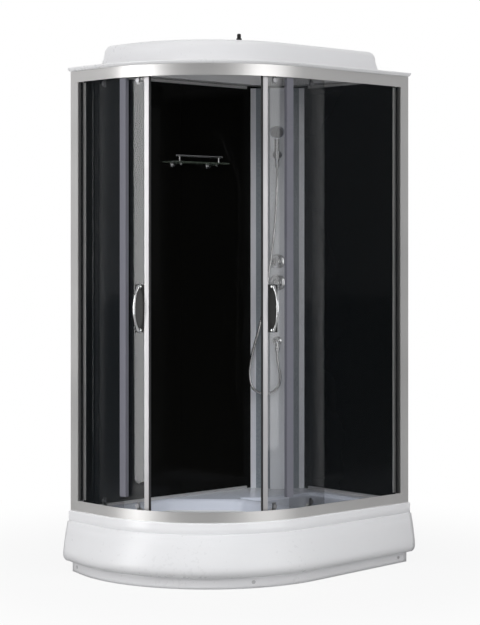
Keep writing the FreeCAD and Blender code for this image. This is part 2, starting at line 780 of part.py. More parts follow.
glassLow = rim + railWall + 1
glassHigh = frameTop - railWall - 1
glassEnd = postLength + 4
leftArc = size("leftGlassAngle")
rightArc = size("rightGlassAngle")
join("left_fixed_glass", [
    arcPiece("left_glass_arc", asSize(180), leftArc, fixedInset, fixedInset + glass, glassLow, glassHigh),
    slab("left_glass_flat", fixedInset - halfLength, fixedInset + glass - halfLength,
         centreY, halfDepth - glassEnd, glassLow, glassHigh)])
join("right_fixed_glass", [
    arcPiece("right_glass_arc", 270 - rightArc, rightArc, fixedInset, fixedInset + glass,
             glassLow, glassHigh),
    slab("right_glass_flat", centreX, halfLength - glassEnd, fixedInset - halfDepth,
         fixedInset + glass - halfDepth, glassLow, glassHigh)])

gasketLow = rim + size("railHeightLow")
gasketHigh = frameTop - size("railHeightTop")
lipEnd = postLength + 10
lipThick = 3
gaskets = []
for label, spot in (("left_gasket", leftSpot), ("right_gasket", rightSpot)):
    body = newBody(label)
    pad(body, [[spot(postLength, fixedInset - lipThick), spot(lipEnd, fixedInset - lipThick),
                spot(lipEnd, fixedInset), spot(glassEnd, fixedInset),
                spot(glassEnd, fixedInset + glass), spot(lipEnd, fixedInset + glass),
                spot(lipEnd, fixedInset + glass + lipThick),
                spot(postLength, fixedInset + glass + lipThick)]],
        gasketLow, gasketHigh - gasketLow)
    gaskets.append(body)
together("glass_gaskets", gaskets)

sealSweep = size("sealAngle")
sealLow = rim + 87
sealHigh = gasketHigh - 2
sealNear = asSize(7)
sealFar = asSize(26)
seals = []
for label, start, slotStart in (
        ("left_seal", 180 + leftArc - sealSweep / 2, 180 + leftArc - sealSweep),
        ("right_seal", 270 - rightArc - sealSweep / 2, 270 - rightArc)):
    channel = arcPiece(label + "_block", start, sealSweep, sealNear, sealFar, sealLow, sealHigh)
    slot = arcPiece(label + "_slot", slotStart, sealSweep, fixedInset, fixedInset + glass,
                    sealLow - 1, sealHigh + 1)
    seals.append(cut(label, channel, [slot]))
together("fixed_glass_seals", seals)


# The roof.

roofWall = size("roofWall")


def dome(inset):
    turn = size("domeRound") + size("domeInset")
    return [(turn - halfLength, halfDepth - turn, turn - inset),
            (centreX, centreY, corner - inset),
            (halfLength - turn, turn - halfDepth, turn - inset),
            (halfLength - turn, halfDepth - turn, turn - inset)]


roof = newBody("roof_shell")
flangeTop = frameTop + size("roofFlange")
domeTop = flangeTop + size("domeHeight")
domeFoot = size("domeInset")
shoulder = ((34, 16), (12, 26), (0, 48))  # drop below the dome's top, and inset from its foot
pad(roof, [plate(-size("roofOverhang"))], frameTop, size("roofFlange"))
loft(roof, "AdditiveLoft", [(flangeTop - 1, dome(domeFoot))] + [
    (domeTop - drop, dome(domeFoot + inset)) for drop, inset in shoulder])
loft(roof, "SubtractiveLoft", [(frameTop, dome(domeFoot + roofWall))] + [
    (domeTop - drop - roofWall, dome(domeFoot + inset + (roofWall if drop else 0)))
    for drop, inset in shoulder])
glandAngle = math.radians(244.17)
glandRadius = corner - domeFoot - size("glandInset")
glandX = centreX + glandRadius * math.cos(glandAngle)
glandY = centreY + glandRadius * math.sin(glandAngle)
gland = turned("roof_gland", [(0, 0), (11, 0), (11, 5), (8, 6), (8, 20), (6, 24), (0, 24)])
place(gland, glandX, glandY, domeTop)


# The glass shelf on the long wall.

shelfLow = size("shelfZ") - glass / 2
shelfFront = wallFace - size("shelfReach")
shelfLeft = size("shelfX") - size("shelfWidth") / 2
shelfRight = size("shelfX") + size("shelfWidth") / 2
armRadius = asSize(5)
armOffset = 102
rosetteRadius = asSize(13)
rosetteThick = asSize(8)
barRadius = asSize(4)
barInset = 25
barBack = 20
postOffset = 112
slab("shelf_glass", shelfLeft, shelfRight, shelfFront, wallFace - rosetteThick, shelfLow,
     shelfLow + glass)
brackets = []
for side in (-1, 1):
    x = size("shelfX") + armOffset * side
    rosette = rod("rosette", rosetteRadius, rosetteThick)
    place(rosette, x, wallFace, shelfLow - armRadius, 0, 0, 90)
    arm = rod("arm", armRadius, size("shelfReach") - barBack)
    place(arm, x, wallFace, shelfLow - armRadius, 0, 0, 90)
    brackets.append(join("shelf_bracket", [rosette, arm]))
together("shelf_brackets", brackets)
barLevel = shelfLow + glass + 24
bar = rod("gallery_bar", barRadius, size("shelfWidth") - barInset * 2)
place(bar, shelfLeft + barInset, shelfFront + barBack, barLevel, 0, 90)
uprights = []
for side in (-1, 1):
    upright = rod("gallery_post", barRadius - 0.5, barLevel - shelfLow - glass)
    uprights.append(place(upright, size("shelfX") + postOffset * side, shelfFront + barBack,
                          shelfLow + glass))
join("shelf_rail", [bar] + uprights)


# The fittings on the column's centre line.

neckRadius = size("neckRadius")
spindle = size("spindleRadius")
play = size("axlePlay")
knob = size("knobRadius")
neckLength = size("coverRise") + belly
plateRise = 8
neckEmbed = 4 - neckLength
spindleTop = plateRise + 24
knobTop = 37
for label, radius, height in (("diverter", size("plateRadius"), diverterZ),
                              ("mixer", size("mixerRadius"), mixerZ)):
    disc = turned(label + "_plate", [
        (0, neckEmbed), (neckRadius, neckEmbed), (neckRadius, 0), (radius, 0), (radius, 3),
        (radius - 6, plateRise), (spindle, plateRise), (spindle, spindleTop), (0, spindleTop)])
    aim(disc, columnSpot(0, coverFront.value, height.value), outward)
    turnKnob = turned(label + "_knob", [
        (spindle + play, plateRise + seam), (knob, plateRise + seam), (knob, plateRise * 2),
        (knob - 3, knobTop - 9), (knob - 9, knobTop - 3), (0, knobTop), (0, spindleTop + seam),
        (spindle + play, spindleTop + seam)])
    aim(turnKnob, columnSpot(0, coverFront.value, height.value), outward)

valveHalf = asSize(50)
valveFront = asSize(-4)
valveBack = asSize(44)
riserHalf = asSize(9)
riserBack = asSize(20)
valveTop = diverterZ + 30
valveLow = mixerZ - 30
valve = newBody("valve_block")
pad(valve, [rectangle(-valveHalf, valveHalf, valveFront, valveBack)], valveLow, valveTop - valveLow)
pad(valve, [rectangle(-riserHalf, riserHalf, valveFront, riserBack)],
    outletZ - neckRadius, valveLow - outletZ + neckRadius + 1)
onColumn(valve)
stubs = []
pipes = []
stubStart = columnX + 24
inletStart = shortFace - 24
for y in inletY:
    stub = rod("inlet_stub", size("inletRadius") - 3, inletStart - stubStart)
    stubs.append(place(stub, stubStart, y, inletZ, 0, 90))
    pipe = rod("inlet_pipe", size("inletRadius"), halfLength - 1 - inletStart)
    pipes.append(place(pipe, inletStart, y, inletZ, 0, 90))
join("mixer_body", [valve] + stubs)
together("water_inlets", pipes)

spoutOut = coverFront + 22
spoutDrop = 30
spoutRadius = asSize(9)
roseRadius = 22
elbowEnd = 35
escutcheon = turned("escutcheon", [
    (0, neckEmbed), (neckRadius, neckEmbed), (neckRadius, 0), (roseRadius, 0), (roseRadius, 4),
    (neckRadius, 8), (neckRadius, elbowEnd - 3), (spoutRadius, elbowEnd), (0, elbowEnd)])
aim(escutcheon, columnSpot(0, coverFront.value, outletZ.value), outward)
spout = rod("spout", spoutRadius, asSize(spoutDrop))
aim(spout, columnSpot(0, spoutOut.value, outletZ.value), Vector(0, 0, -1), outward)
join("hose_outlet", [escutcheon, spout])


def leaning(out, rise):
    """A direction in the column's middle plane, out into the room and up."""
    return (outward * out + Vector(0, 0, rise)).normalize()


gripRadius = size("gripRadius")
gripTop = 163
gripWay = leaning(0.375, 0.927)
faceWay = leaning(0.8, -0.6)
holderOut = 92
gripBelow = 44
heldSpot = columnSpot(0, holderOut, holderZ.value)
gripSpot = heldSpot - gripWay * gripBelow
grip = turned("grip", [(0, 0), (gripRadius - 2, 0), (gripRadius - 2, 14), (gripRadius, 18),
                       (gripRadius, gripTop), (0, gripTop)])
aim(grip, gripSpot, gripWay, outward)
headRadius = size("headRadius")
headBack = 16
headFront = 8
headSpot = gripSpot + gripWay * (gripTop - 4) + faceWay * headBack
head = turned("head", [(0, -headBack), (16, 2 - headBack), (headRadius - 3, -2), (headRadius, 2),
                       (headRadius, headFront), (0, headFront)])
aim(head, headSpot, faceWay)
join("handset", [grip, head])
sprayFace = turned("spray_face", [(0, headFront), (headRadius - 4, headFront),
                                  (headRadius - 6, headFront + 2), (0, headFront + 3)])
aim(sprayFace, headSpot, faceWay)
holderRose = 20
holderNeck = 9
holderReach = holderOut - coverFront - gripRadius + 2
holderPlate = turned("holder_plate", [(0, 0), (holderRose, 0), (holderRose, 4), (holderRose - 4, 7),
                                      (holderNeck, 8), (holderNeck, holderReach), (0, holderReach)])
aim(holderPlate, columnSpot(0, coverFront.value, holderZ.value), outward)
collarLength = 30
collar = rod("holder_collar", gripRadius + 4, asSize(collarLength))
aim(collar, heldSpot - gripWay * (collarLength / 2), gripWay, outward)
bore = rod("holder_bore", gripRadius + size("axlePlay"), asSize(collarLength * 2))
aim(bore, heldSpot - gripWay * collarLength, gripWay, outward)
cut("handset_holder", join("holder_solid", [holderPlate, collar]), [bore])


# The hose: a loose loop from the outlet up to the handset, in runs joined by tangent arcs.

nutLength = 22
outletEnd = outletZ.value - spoutDrop - nutLength
hoseRoute = [
    (0, 0, 0), (0, 0, -41), (13, 0, -91), (12, 1, -141), (-12, 2, -174), (-51, 3, -188),
    (-90, 3, -178), (-118, 2, -148), (-126, 1, -87), (-111, 0, 2), (-76, -1, 120),
    (-52, -3, 250), (-31, -4, 400), (-12, -5, 545), (-2, -6, 690)]
hosePoints = [columnSpot(along, spoutOut.value + out, outletEnd + height)
              for along, out, height in hoseRoute]
hoseEnd = gripSpot - gripWay * nutLength
lastRun = 48
hosePoints += [hoseEnd - gripWay * lastRun, hoseEnd]


def hosePath(points):
    """Straight runs joined by tangent arcs."""
    arcShare = 0.45
    edges = []
    start = points[0]
    for before, here, after in zip(points, points[1:], points[2:]):
        back = before - here
        ahead = after - here
        halfTurn = (math.pi - back.getAngle(ahead)) / 2
        trimLength = arcShare * min(back.Length, ahead.Length)
        radius = trimLength / math.tan(halfTurn)
        back.normalize()
        ahead.normalize()
        middle = (back + ahead).normalize()
        top = here + middle * (radius / math.cos(halfTurn) - radius)
        enter = here + back * trimLength
        leave = here + ahead * trimLength
        edges.append(Part.LineSegment(start, enter).toShape())
        edges.append(Part.Arc(enter, top, leave).toShape())
        start = leave
    edges.append(Part.LineSegment(start, points[-1]).toShape())
    return Part.Wire(edges)


path = hosePath(hosePoints)
hoseRadius = size("hoseDiameter").value / 2
section = Part.Wire([Part.Circle(hosePoints[0], Vector(0, 0, 1), hoseRadius).toShape()])
hose = doc.addObject("Part::Feature", "shower_hose")
hose.Label = "shower_hose"
hose.Shape = path.makePipeShell([section], True, False)
print("hose length %.0f" % path.Length)

nutNeck = 8
nutRadius = 10.5
nuts = []
for spot, way in ((hosePoints[0], Vector(0, 0, 1)), (hosePoints[-1], gripWay)):
    nut = turned("hose_nut", [(0, 0), (nutNeck, 0), (nutNeck, 6), (nutRadius, 8),
                              (nutRadius, nutLength), (0, nutLength)])
    nuts.append(aim(nut, spot, way))
together("hose_nuts", nuts)


# The doors: each is bent glass round the plan's centre, hung on four wheels.

doorInset = size("doorInset")
doorLow = rim + 26
doorHigh = frameTop - 33
lowAxle = lowTrack + seam + wheel
highAxle = highTrack + seam + wheel
axle = size("axleRadius")
wheelInset = size("wheelInset")
wheelWidth = size("wheelWidth")
boltHead = asSize(1.5)
boltRadius = asSize(4)
boltHeadRadius = asSize(9)
boltEdge = 25
hangerHalf = 0.8  # degrees, as all angles behind a door's leading edge
hangerThick = 4
hangerLap = 40
hangerBack = 6.5
hangerRear = 11
magnetBack = (0.03, 0.6)
edgeBack = (0.6, 2.7)
sheetBack = 1.4
edgeRise = 3.5
plateBack = (3.2, 7.6)
plateThick = 2
handleBack = 5.2
handleEnd = 16
handleFootGrow = 2
handleFootOut = 6


def door(side, sign):
    """A door; angles run back from its leading edge, which sign turns towards its fixed glass."""
    tip = size("meetAngle") + sign * size("openAngle")

    def piece(label, near, far, nearInset, farInset, low, high):
        start = tip + near if sign > 0 else tip - far
        return arcPiece(label, start, asSize(far) - near, nearInset, farInset, low, high)

    def angleAt(back):
        return math.radians(tip.value + sign * back)

    def spotAt(back, inset, height):
        angle = angleAt(back)
        radius = corner.value - inset
        return Vector(centreX.value + radius * math.cos(angle),
                      centreY.value + radius * math.sin(angle), height)

    def outAt(back):
        return Vector(math.cos(angleAt(back)), math.sin(angleAt(back)), 0)

    inner = doorInset + glass
    sheetGlass = piece(side + "_door_sheet", sheetBack, size("doorAngle"), doorInset, inner,
                       doorLow, doorHigh)
    frontEdge = piece(side + "_edge_block", *edgeBack, doorInset - edgeRise, inner + edgeRise,
                      doorLow, doorHigh)
    slot = piece(side + "_edge_slot", sheetBack, edgeBack[1] + 1, doorInset, inner, doorLow - 1,
                 doorHigh + 1)
    cut(side + "_door_edge", frontEdge, [slot])
    piece(side + "_door_magnet", *magnetBack, doorInset - 1, inner + 1, doorLow, doorHigh)

    plateLow = size("handleZ") - size("handlePlate") / 2
    plateInset = doorInset - plateThick
    piece(side + "_handle_plate", *plateBack, plateInset, doorInset, plateLow,
          plateLow + size("handlePlate"))
    bow = doc.addObject("Part::Torus", side + "_handle_bow")
    bow.Label = side + "_handle_bow"
    sweep = size("handleAngle")
    bind(bow, "Radius1", size("handleRadius"))
    bind(bow, "Radius2", size("handleTube"))
    bind(bow, "Angle3", sweep)
    out = outAt(handleBack)
    half = math.radians(sweep.value / 2)
    bowRadius = size("handleRadius").value
    spot = spotAt(handleBack, handleEnd, size("handleZ").value) - out * (bowRadius * math.cos(half))
    start = out * math.cos(half) - Vector(0, 0, math.sin(half))
    across = out * math.sin(half) + Vector(0, 0, math.cos(half))
    spin = FreeCAD.Rotation(start, across, start.cross(across), "ZXY")
    bow.Placement = FreeCAD.Placement(spot, spin)
    pieces = [bow]
    for end in (-1, 1):
        level = size("handleZ").value + end * bowRadius * math.sin(half)
        footRod = rod(side + "_handle_foot", size("handleTube") + handleFootGrow,
                      plateInset - handleEnd + handleFootOut)
        pieces.append(aim(footRod, spotAt(handleBack, plateInset.value, level), out))
    join(side + "_handle", pieces)

    hangers = []
    holes = []
    pinInset = inner + hangerThick / 2
    for name, back in (("front", hangerBack), ("rear", size("doorAngle").value - hangerRear)):
        for height, axleZ, low, high in (
                ("low", lowAxle, lowAxle - axle * 2, doorLow + hangerLap),
                ("high", highAxle, doorHigh - hangerLap, highAxle + axle * 2)):
            strap = piece("%s_strap" % side, back - hangerHalf, back + hangerHalf, inner,
                          inner + hangerThick, low, high)
            pin = rod("%s_pin" % side, axle, wheelInset + wheelWidth + 1 - pinInset)
            aim(pin, spotAt(back, pinInset.value, axleZ.value), -outAt(back))
            collar = rod("%s_collar" % side, axle + 2, wheelInset - pinInset - 0.5)
            aim(collar, spotAt(back, pinInset.value, axleZ.value), -outAt(back))
            boltZ = (doorLow + boltEdge).value if height == "low" else (doorHigh - boltEdge).value
            bolt = rod("%s_bolt" % side, boltRadius, glass + 2)
            aim(bolt, spotAt(back, inner.value + 1, boltZ), outAt(back))
            head = rod("%s_bolt_head" % side, boltHeadRadius, boltHead)
            aim(head, spotAt(back, doorInset.value, boltZ), outAt(back))
            hangers.append(join("%s_hanger" % side, [strap, pin, collar, bolt, head]))
            hole = rod("%s_bolt_hole" % side, boltRadius + seam, glass * 3)
            holes.append(aim(hole, spotAt(back, (inner + glass).value, boltZ), outAt(back)))
            roller = turned("%s_%s_%s_wheel" % (side, name, height), [
                (axle + play, 0), (wheel - 1, 0), (wheel, 1), (wheel, wheelWidth - 1),
                (wheel - 1, wheelWidth), (axle + play, wheelWidth)])
            aim(roller, spotAt(back, wheelInset.value, axleZ.value), -outAt(back))
    together(side + "_door_hangers", hangers)
    cut(side + "_door_glass", sheetGlass, holes)


door("left", -1)
door("right", 1)
doc.recompute()

nodes = ["tray_basin", "front_apron", "apron_screws", "tray_frame", "levelling_feet", "waste_trap",
         "drain_cover", "long_wall_left", "long_wall_right", "short_wall", "wall_top_trims",
         "wall_base_trims", "corner_column", "column_cover", "column_trims", "left_post",
         "right_post", "top_rail", "bottom_rail", "left_fixed_glass", "right_fixed_glass",
         "glass_gaskets", "fixed_glass_seals", "roof_shell", "roof_gland", "shelf_glass",
         "shelf_brackets", "shelf_rail", "diverter_plate", "diverter_knob", "mixer_plate",
         "mixer_knob", "mixer_body", "water_inlets", "hose_outlet", "shower_hose", "hose_nuts",
         "handset", "spray_face", "handset_holder"]
for side in ("left", "right"):
    nodes += [side + ending for ending in (
        "_door_glass", "_door_edge", "_door_magnet", "_handle_plate", "_handle", "_door_hangers",
        "_front_low_wheel", "_front_high_wheel", "_rear_low_wheel", "_rear_high_wheel")]

for thing in doc.Objects:
    faults = [word for word in thing.State if word in ("Invalid", "Error")]
    if faults:
        raise RuntimeError("%s: %s" % (thing.Label, faults))
pieces = {}
for node in nodes:
    piece = doc.getObjectsByLabel(node)[0]
    if piece.Shape.isNull() or not piece.Shape.isValid():
        raise RuntimeError(node + " has no valid shape")
    pieces[node] = piece
os.makedirs("parts", exist_ok=True)
for node, piece in pieces.items():
    piece.Shape.exportStep("parts/%s.step" % node)
    print("%-20s %2d solids %9.1f cm3" % (node, len(piece.Shape.Solids), piece.Shape.Volume / 1000))
print(len(nodes), "nodes")
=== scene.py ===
import math

import bmesh
import bpy
from mathutils import Matrix, Vector


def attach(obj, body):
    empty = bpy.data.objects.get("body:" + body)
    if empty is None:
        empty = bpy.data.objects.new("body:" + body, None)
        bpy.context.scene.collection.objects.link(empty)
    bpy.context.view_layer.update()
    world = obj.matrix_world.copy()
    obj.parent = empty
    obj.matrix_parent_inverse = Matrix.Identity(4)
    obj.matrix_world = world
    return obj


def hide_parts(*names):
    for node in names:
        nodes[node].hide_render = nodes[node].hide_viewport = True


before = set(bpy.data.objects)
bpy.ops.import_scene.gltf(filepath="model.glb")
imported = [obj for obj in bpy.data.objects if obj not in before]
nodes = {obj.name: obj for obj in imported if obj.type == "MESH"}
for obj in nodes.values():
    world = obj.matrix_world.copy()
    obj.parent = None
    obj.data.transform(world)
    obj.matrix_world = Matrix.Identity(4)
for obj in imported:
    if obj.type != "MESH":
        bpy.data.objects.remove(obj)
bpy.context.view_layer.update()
scene = bpy.context.scene
print("frame loaded, nodes:", len(nodes))

# Camera, level, with its lens shifted down.
view = {
    "spot": (-5.0385, -5.4286, 1.3468),
    "pitch": 90,
    "turn": -42.8,
    "lens": 101.98,
    "sensor": 36,
    "shiftY": -0.1086,
}


def placeCamera():
    lens = bpy.data.cameras.new("camera")
    lens.sensor_width = view["sensor"]
    lens.lens = view["lens"]
    lens.shift_y = view["shiftY"]
    camera = bpy.data.objects.new("camera", lens)
    camera.location = view["spot"]
    camera.rotation_euler = (math.radians(view["pitch"]), 0, math.radians(view["turn"]))
    scene.collection.objects.link(camera)
    scene.camera = camera


placeCamera()

# Plan of the cabin in metres, from the middle of its frame on the floor.
plan = {
    "halfLength": 0.595,
    "halfDepth": 0.399,
    "corner": 0.560,  # radius of the frame's outer face at the rounded corner
    "rim": 0.254,
    "arcSteps": 72,
    "arcFrom": 0.3,  # corners of a greater radius than this are drawn with arcSteps
}
middle = Vector((plan["corner"] - plan["halfLength"], plan["corner"] - plan["halfDepth"], 0))
column = {"x": 0.4945, "y": 0.2985, "front": 0.036}
outward = Vector((-1, -1, 0)).normalized()  # from the corner column into the cabin
upward = Vector((0, 0, 1))


def columnSpot(along, out, height):
    turn = math.sqrt(0.5)
    return Vector((column["x"] + (along - out) * turn, column["y"] - (along + out) * turn, height))


def leaning(out, rise):
    return (outward * out + upward * rise).normalized()


# Node steps that the finishes and the studio share.
def colourMix(tree, share, first, second):
    mix = tree.nodes.new("ShaderNodeMix")
    mix.data_type = "RGBA"
    mix.inputs["A"].default_value = (*first, 1)
    mix.inputs["B"].default_value = (*second, 1)
    tree.links.new(share, mix.inputs["Factor"])
    return mix


def combine(tree, operation, first, second):
    node = tree.nodes.new("ShaderNodeMath")
    node.operation = operation
    tree.links.new(first, node.inputs[0])
    tree.links.new(second, node.inputs[1])
    return node.outputs["Value"]


def mapRange(tree, value, given, wanted, shape="LINEAR"):
    node = tree.nodes.new("ShaderNodeMapRange")
    node.interpolation_type = shape
    node.inputs["From Min"].default_value, node.inputs["From Max"].default_value = given
    node.inputs["To Min"].default_value, node.inputs["To Max"].default_value = wanted
    tree.links.new(value, node.inputs["Value"])
    return node.outputs["Result"]


def noise(tree, place, scale, detail):
    node = tree.nodes.new("ShaderNodeTexNoise")
    node.inputs["Scale"].default_value = scale
    node.inputs["Detail"].default_value = detail
    tree.links.new(place, node.inputs["Vector"])
    return node.outputs["Fac"]


# Finishes: soft clouds in colour and gloss, and a fine grain in the surface.
surface = {"cloudDetail": 4, "grainDetail": 2, "glossRange": (0.1, 0.4)}


def newFinish(name, colour, shade, rough, metal=0, cloud=3, grain=(300, 300, 300), bump=0.05,
              depth=0.0005, ior=1.5, alpha=1, specular=0.5):
    material = bpy.data.materials.new(name)
    material.use_nodes = True
    tree = material.node_tree
    shader = tree.nodes["Principled BSDF"]
    spot = tree.nodes.new("ShaderNodeTexCoord").outputs["Object"]
    clouds = noise(tree, spot, cloud, surface["cloudDetail"])
    tone = colourMix(tree, clouds, colour, shade)
    tree.links.new(tone.outputs["Result"], shader.inputs["Base Color"])
    stretch = tree.nodes.new("ShaderNodeMapping")
    stretch.inputs["Scale"].default_value = grain
    tree.links.new(spot, stretch.inputs["Vector"])
    fine = noise(tree, stretch.outputs["Vector"], 1, surface["grainDetail"])
    gloss = mapRange(tree, combine(tree, "MULTIPLY", clouds, fine), surface["glossRange"], rough)
    tree.links.new(gloss, shader.inputs["Roughness"])
    relief = tree.nodes.new("ShaderNodeBump")
    relief.inputs["Strength"].default_value = bump
    relief.inputs["Distance"].default_value = depth
    tree.links.new(fine, relief.inputs["Height"])
    tree.links.new(relief.outputs["Normal"], shader.inputs["Normal"])
    for socket, value in (("Metallic", metal), ("IOR", ior), ("Alpha", alpha), ("Specular IOR Level", specular)):
        shader.inputs[socket].default_value = value
    return material


acrylic = {"cloud": 2.5, "grain": (60, 60, 60), "bump": 0.03}
satin = ((0.88, 0.87, 0.855), (0.82, 0.81, 0.80), (0.38, 0.48))
alongRails = {"grain": (2, 2, 900), "bump": 0.04, "depth": 0.0001}
upPosts = {"grain": (900, 900, 2), "bump": 0.04, "depth": 0.0001}
panel = {"cloud": 5, "grain": (120, 120, 120)}
smoke = ((0.006, 0.010, 0.014), (0.010, 0.014, 0.018), (0.02, 0.05))
pane = {"cloud": 2, "grain": (8, 8, 8), "bump": 0.01}
finishes = {
    "white_acrylic": newFinish("whiteAcrylic", (0.84, 0.84, 0.85), (0.81, 0.81, 0.825), (0.26, 0.36), **acrylic),
    "tray_acrylic": newFinish("trayAcrylic", (0.86, 0.86, 0.87), (0.83, 0.83, 0.845), (0.16, 0.26), **acrylic),
    "cap_plastic": newFinish("capPlastic", (0.62, 0.62, 0.63), (0.5, 0.5, 0.51), (0.2, 0.35), cloud=40),
    "frame_steel": newFinish("zincSteel", (0.5, 0.5, 0.51), (0.36, 0.37, 0.39), (0.35, 0.55), metal=1,
                             cloud=30, grain=(80, 80, 80), bump=0.2),
    "trap_plastic": newFinish("trapPlastic", (0.75, 0.75, 0.73), (0.68, 0.68, 0.66), (0.4, 0.55), cloud=12),
    "chrome": newFinish("chrome", (0.9, 0.9, 0.9), (0.85, 0.86, 0.87), (0.04, 0.12), metal=1, cloud=25,
                        bump=0.02),
    "black_glass": newFinish("blackGlass", (0.0035, 0.0035, 0.003), (0.005, 0.005, 0.0045), (0.05, 0.12),
                             cloud=1.5, grain=(25, 25, 25), bump=0.01, specular=0.1),
    "satin_aluminium": newFinish("satinRun", *satin, metal=1, **alongRails),
    "satin_rise": newFinish("satinRise", *satin, metal=1, **upPosts),
    "door_trim": newFinish("doorTrim", (0.48, 0.47, 0.48), (0.43, 0.425, 0.435), (0.38, 0.48), metal=1,
                           **upPosts),
    "pale_trim": newFinish("paleTrim", (0.91, 0.92, 0.97), (0.87, 0.88, 0.93), (0.2, 0.3), metal=0.05,
                           **upPosts),
    "grey_panel": newFinish("greyPanel", (0.30, 0.33, 0.36), (0.27, 0.30, 0.33), (0.22, 0.34), **panel),
    "light_panel": newFinish("lightPanel", (0.88, 0.90, 0.94), (0.84, 0.86, 0.90), (0.2, 0.3), **panel),
    "tinted_glass": newFinish("clearGlass", *smoke, ior=1.5, alpha=0.12, **pane),
    "door_glass": newFinish("smokedGlass", *smoke, ior=2.3, alpha=0.2, **pane),
    "black_rubber": newFinish("blackRubber", (0.02, 0.02, 0.021), (0.03, 0.03, 0.03), (0.55, 0.75), cloud=60,
                              bump=0.15),
    "seal_plastic": newFinish("sealPlastic", (0.19, 0.19, 0.22), (0.15, 0.15, 0.18), (0.16, 0.28), cloud=8),
    "black_plastic": newFinish("blackPlastic", (0.014, 0.014, 0.014), (0.022, 0.022, 0.021), (0.25, 0.4),
                               cloud=40, specular=0.2),
    "shelf_glass": newFinish("shelfGlass", (0.25, 0.3, 0.24), (0.2, 0.26, 0.2), (0.03, 0.06), cloud=4,
                             grain=(10, 10, 10), bump=0.01, ior=2.0, alpha=0.3),
    "brass": newFinish("brass", (0.7, 0.55, 0.28), (0.58, 0.43, 0.2), (0.2, 0.35), metal=1, cloud=30),
    "dull_chrome": newFinish("dullChrome", (0.32, 0.32, 0.33), (0.22, 0.22, 0.23), (0.25, 0.4), metal=1,
                             cloud=60),
    "hose_metal": newFinish("hoseSteel", (0.78, 0.78, 0.78), (0.66, 0.66, 0.67), (0.12, 0.22), metal=1,
                            cloud=40),
    "chrome_plastic": newFinish("chromedPlastic", (0.86, 0.86, 0.87), (0.8, 0.8, 0.81), (0.06, 0.14), metal=1,
                                cloud=25, bump=0.02),
    "grey_plastic": newFinish("greyPlastic", (0.16, 0.16, 0.165), (0.2, 0.2, 0.205), (0.45, 0.6), cloud=60),
    "roller_plastic": newFinish("rollerPlastic", (0.72, 0.72, 0.7), (0.62, 0.62, 0.6), (0.3, 0.45), cloud=50),
}
# Painted shade: a bluish darkening laid over the tray's acrylic inside the cabin.
insideShadeTint = (0.84, 0.88, 0.97)


def paintInsideShade(material):
    # A bluish painted shade over the base, by the mesh's own "inside" value: it makes the acrylic inside the cabin
    # darker and bluer than the same acrylic outside.
    tree = material.node_tree
    base = tree.nodes["Principled BSDF"].inputs["Base Color"]
    share = tree.nodes.new("ShaderNodeAttribute")
    share.attribute_name = "inside"
    over = colourMix(tree, share.outputs["Fac"], insideShadeTint, insideShadeTint)
    over.blend_type = "MULTIPLY"
    tree.links.new(base.links[0].from_socket, over.inputs["A"])
    tree.links.new(over.outputs["Result"], base)


# Paints the bluish shade of the cabin's inside onto the tray's acrylic.
paintInsideShade(finishes["tray_acrylic"])
print("finishes:", len(finishes))

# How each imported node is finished.
nodeFinish = {
    "satin_aluminium": ["top_rail", "bottom_rail", "wall_top_trims", "wall_base_trims"],
    "satin_rise": ["left_post", "right_post"],
    "door_trim": ["left_door_edge", "right_door_edge"],
    "black_glass": ["long_wall_left", "long_wall_right", "short_wall"],
    "grey_panel": ["corner_column"],
    "light_panel": ["column_cover"],
    "tinted_glass": ["left_fixed_glass", "right_fixed_glass"],
    "door_glass": ["left_door_glass", "right_door_glass"],
    "black_rubber": ["glass_gaskets", "left_door_magnet", "right_door_magnet"],
    "seal_plastic": ["fixed_glass_seals"],
    "frame_steel": ["tray_frame", "levelling_feet"],
    "trap_plastic": ["waste_trap"],
    "black_plastic": ["roof_gland", "left_handle_plate", "right_handle_plate"],
    "shelf_glass": ["shelf_glass"],
    "chrome": ["shelf_brackets", "shelf_rail", "drain_cover"],
    "dull_chrome": ["left_door_hangers", "right_door_hangers"],
    "brass": ["mixer_body", "water_inlets"],
    "chrome_plastic": ["hose_nuts", "handset_holder"],
}
for ending in ("_front_low_wheel", "_front_high_wheel", "_rear_low_wheel", "_rear_high_wheel"):
    nodeFinish.setdefault("roller_plastic", []).extend(["left" + ending, "right" + ending])


def coverNode(node, material):
    for slot in node.material_slots:
        slot.link = "OBJECT"
        slot.material = material


for finish, names in nodeFinish.items():
    for name in names:
        coverNode(nodes[name], finishes[finish])
print("nodes finished")


# A finished mesh becomes a piece that rides on a body.
meshing = {"weld": 0.00002, "facetAngle": 1, "softSegments": 2, "softAngle": 40}


def addPiece(name, bm, body, slot, replaced, finish=None, sharp=35, turnOut=True):
    bmesh.ops.remove_doubles(bm, verts=bm.verts, dist=meshing["weld"])
    if turnOut:
        bmesh.ops.recalc_face_normals(bm, faces=bm.faces)
    mesh = bpy.data.meshes.new(name)
    bm.to_mesh(mesh)
    bm.free()
    mesh.shade_smooth()
    mesh.set_sharp_from_angle(angle=math.radians(sharp))
    piece = bpy.data.objects.new(name, mesh)
    scene.collection.objects.link(piece)
    mesh.materials.append(finishes[finish or slot])
    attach(piece, body)
    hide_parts(*replaced)
    return piece


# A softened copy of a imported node, with its facets merged first.
def softCopy(node, slot, width, finish=None):
    bm = bmesh.new()
    bm.from_mesh(nodes[node].data)
    bmesh.ops.remove_doubles(bm, verts=bm.verts, dist=meshing["weld"])
    bmesh.ops.dissolve_limit(bm, angle_limit=math.radians(meshing["facetAngle"]), verts=bm.verts, edges=bm.edges)
    piece = addPiece(node + "Soft", bm, "cabin", slot, (node,), finish, turnOut=False)
    bevel = piece.modifiers.new("soft edges", "BEVEL")
    bevel.width = width
    bevel.segments = meshing["softSegments"]
    bevel.limit_method = "ANGLE"
    bevel.angle_limit = math.radians(meshing["softAngle"])
    bevel.harden_normals = True


def joinInto(bm, part):
    mesh = bpy.data.meshes.new("part")
    part.to_mesh(mesh)
    part.free()
    bm.from_mesh(mesh)
    bpy.data.meshes.remove(mesh)


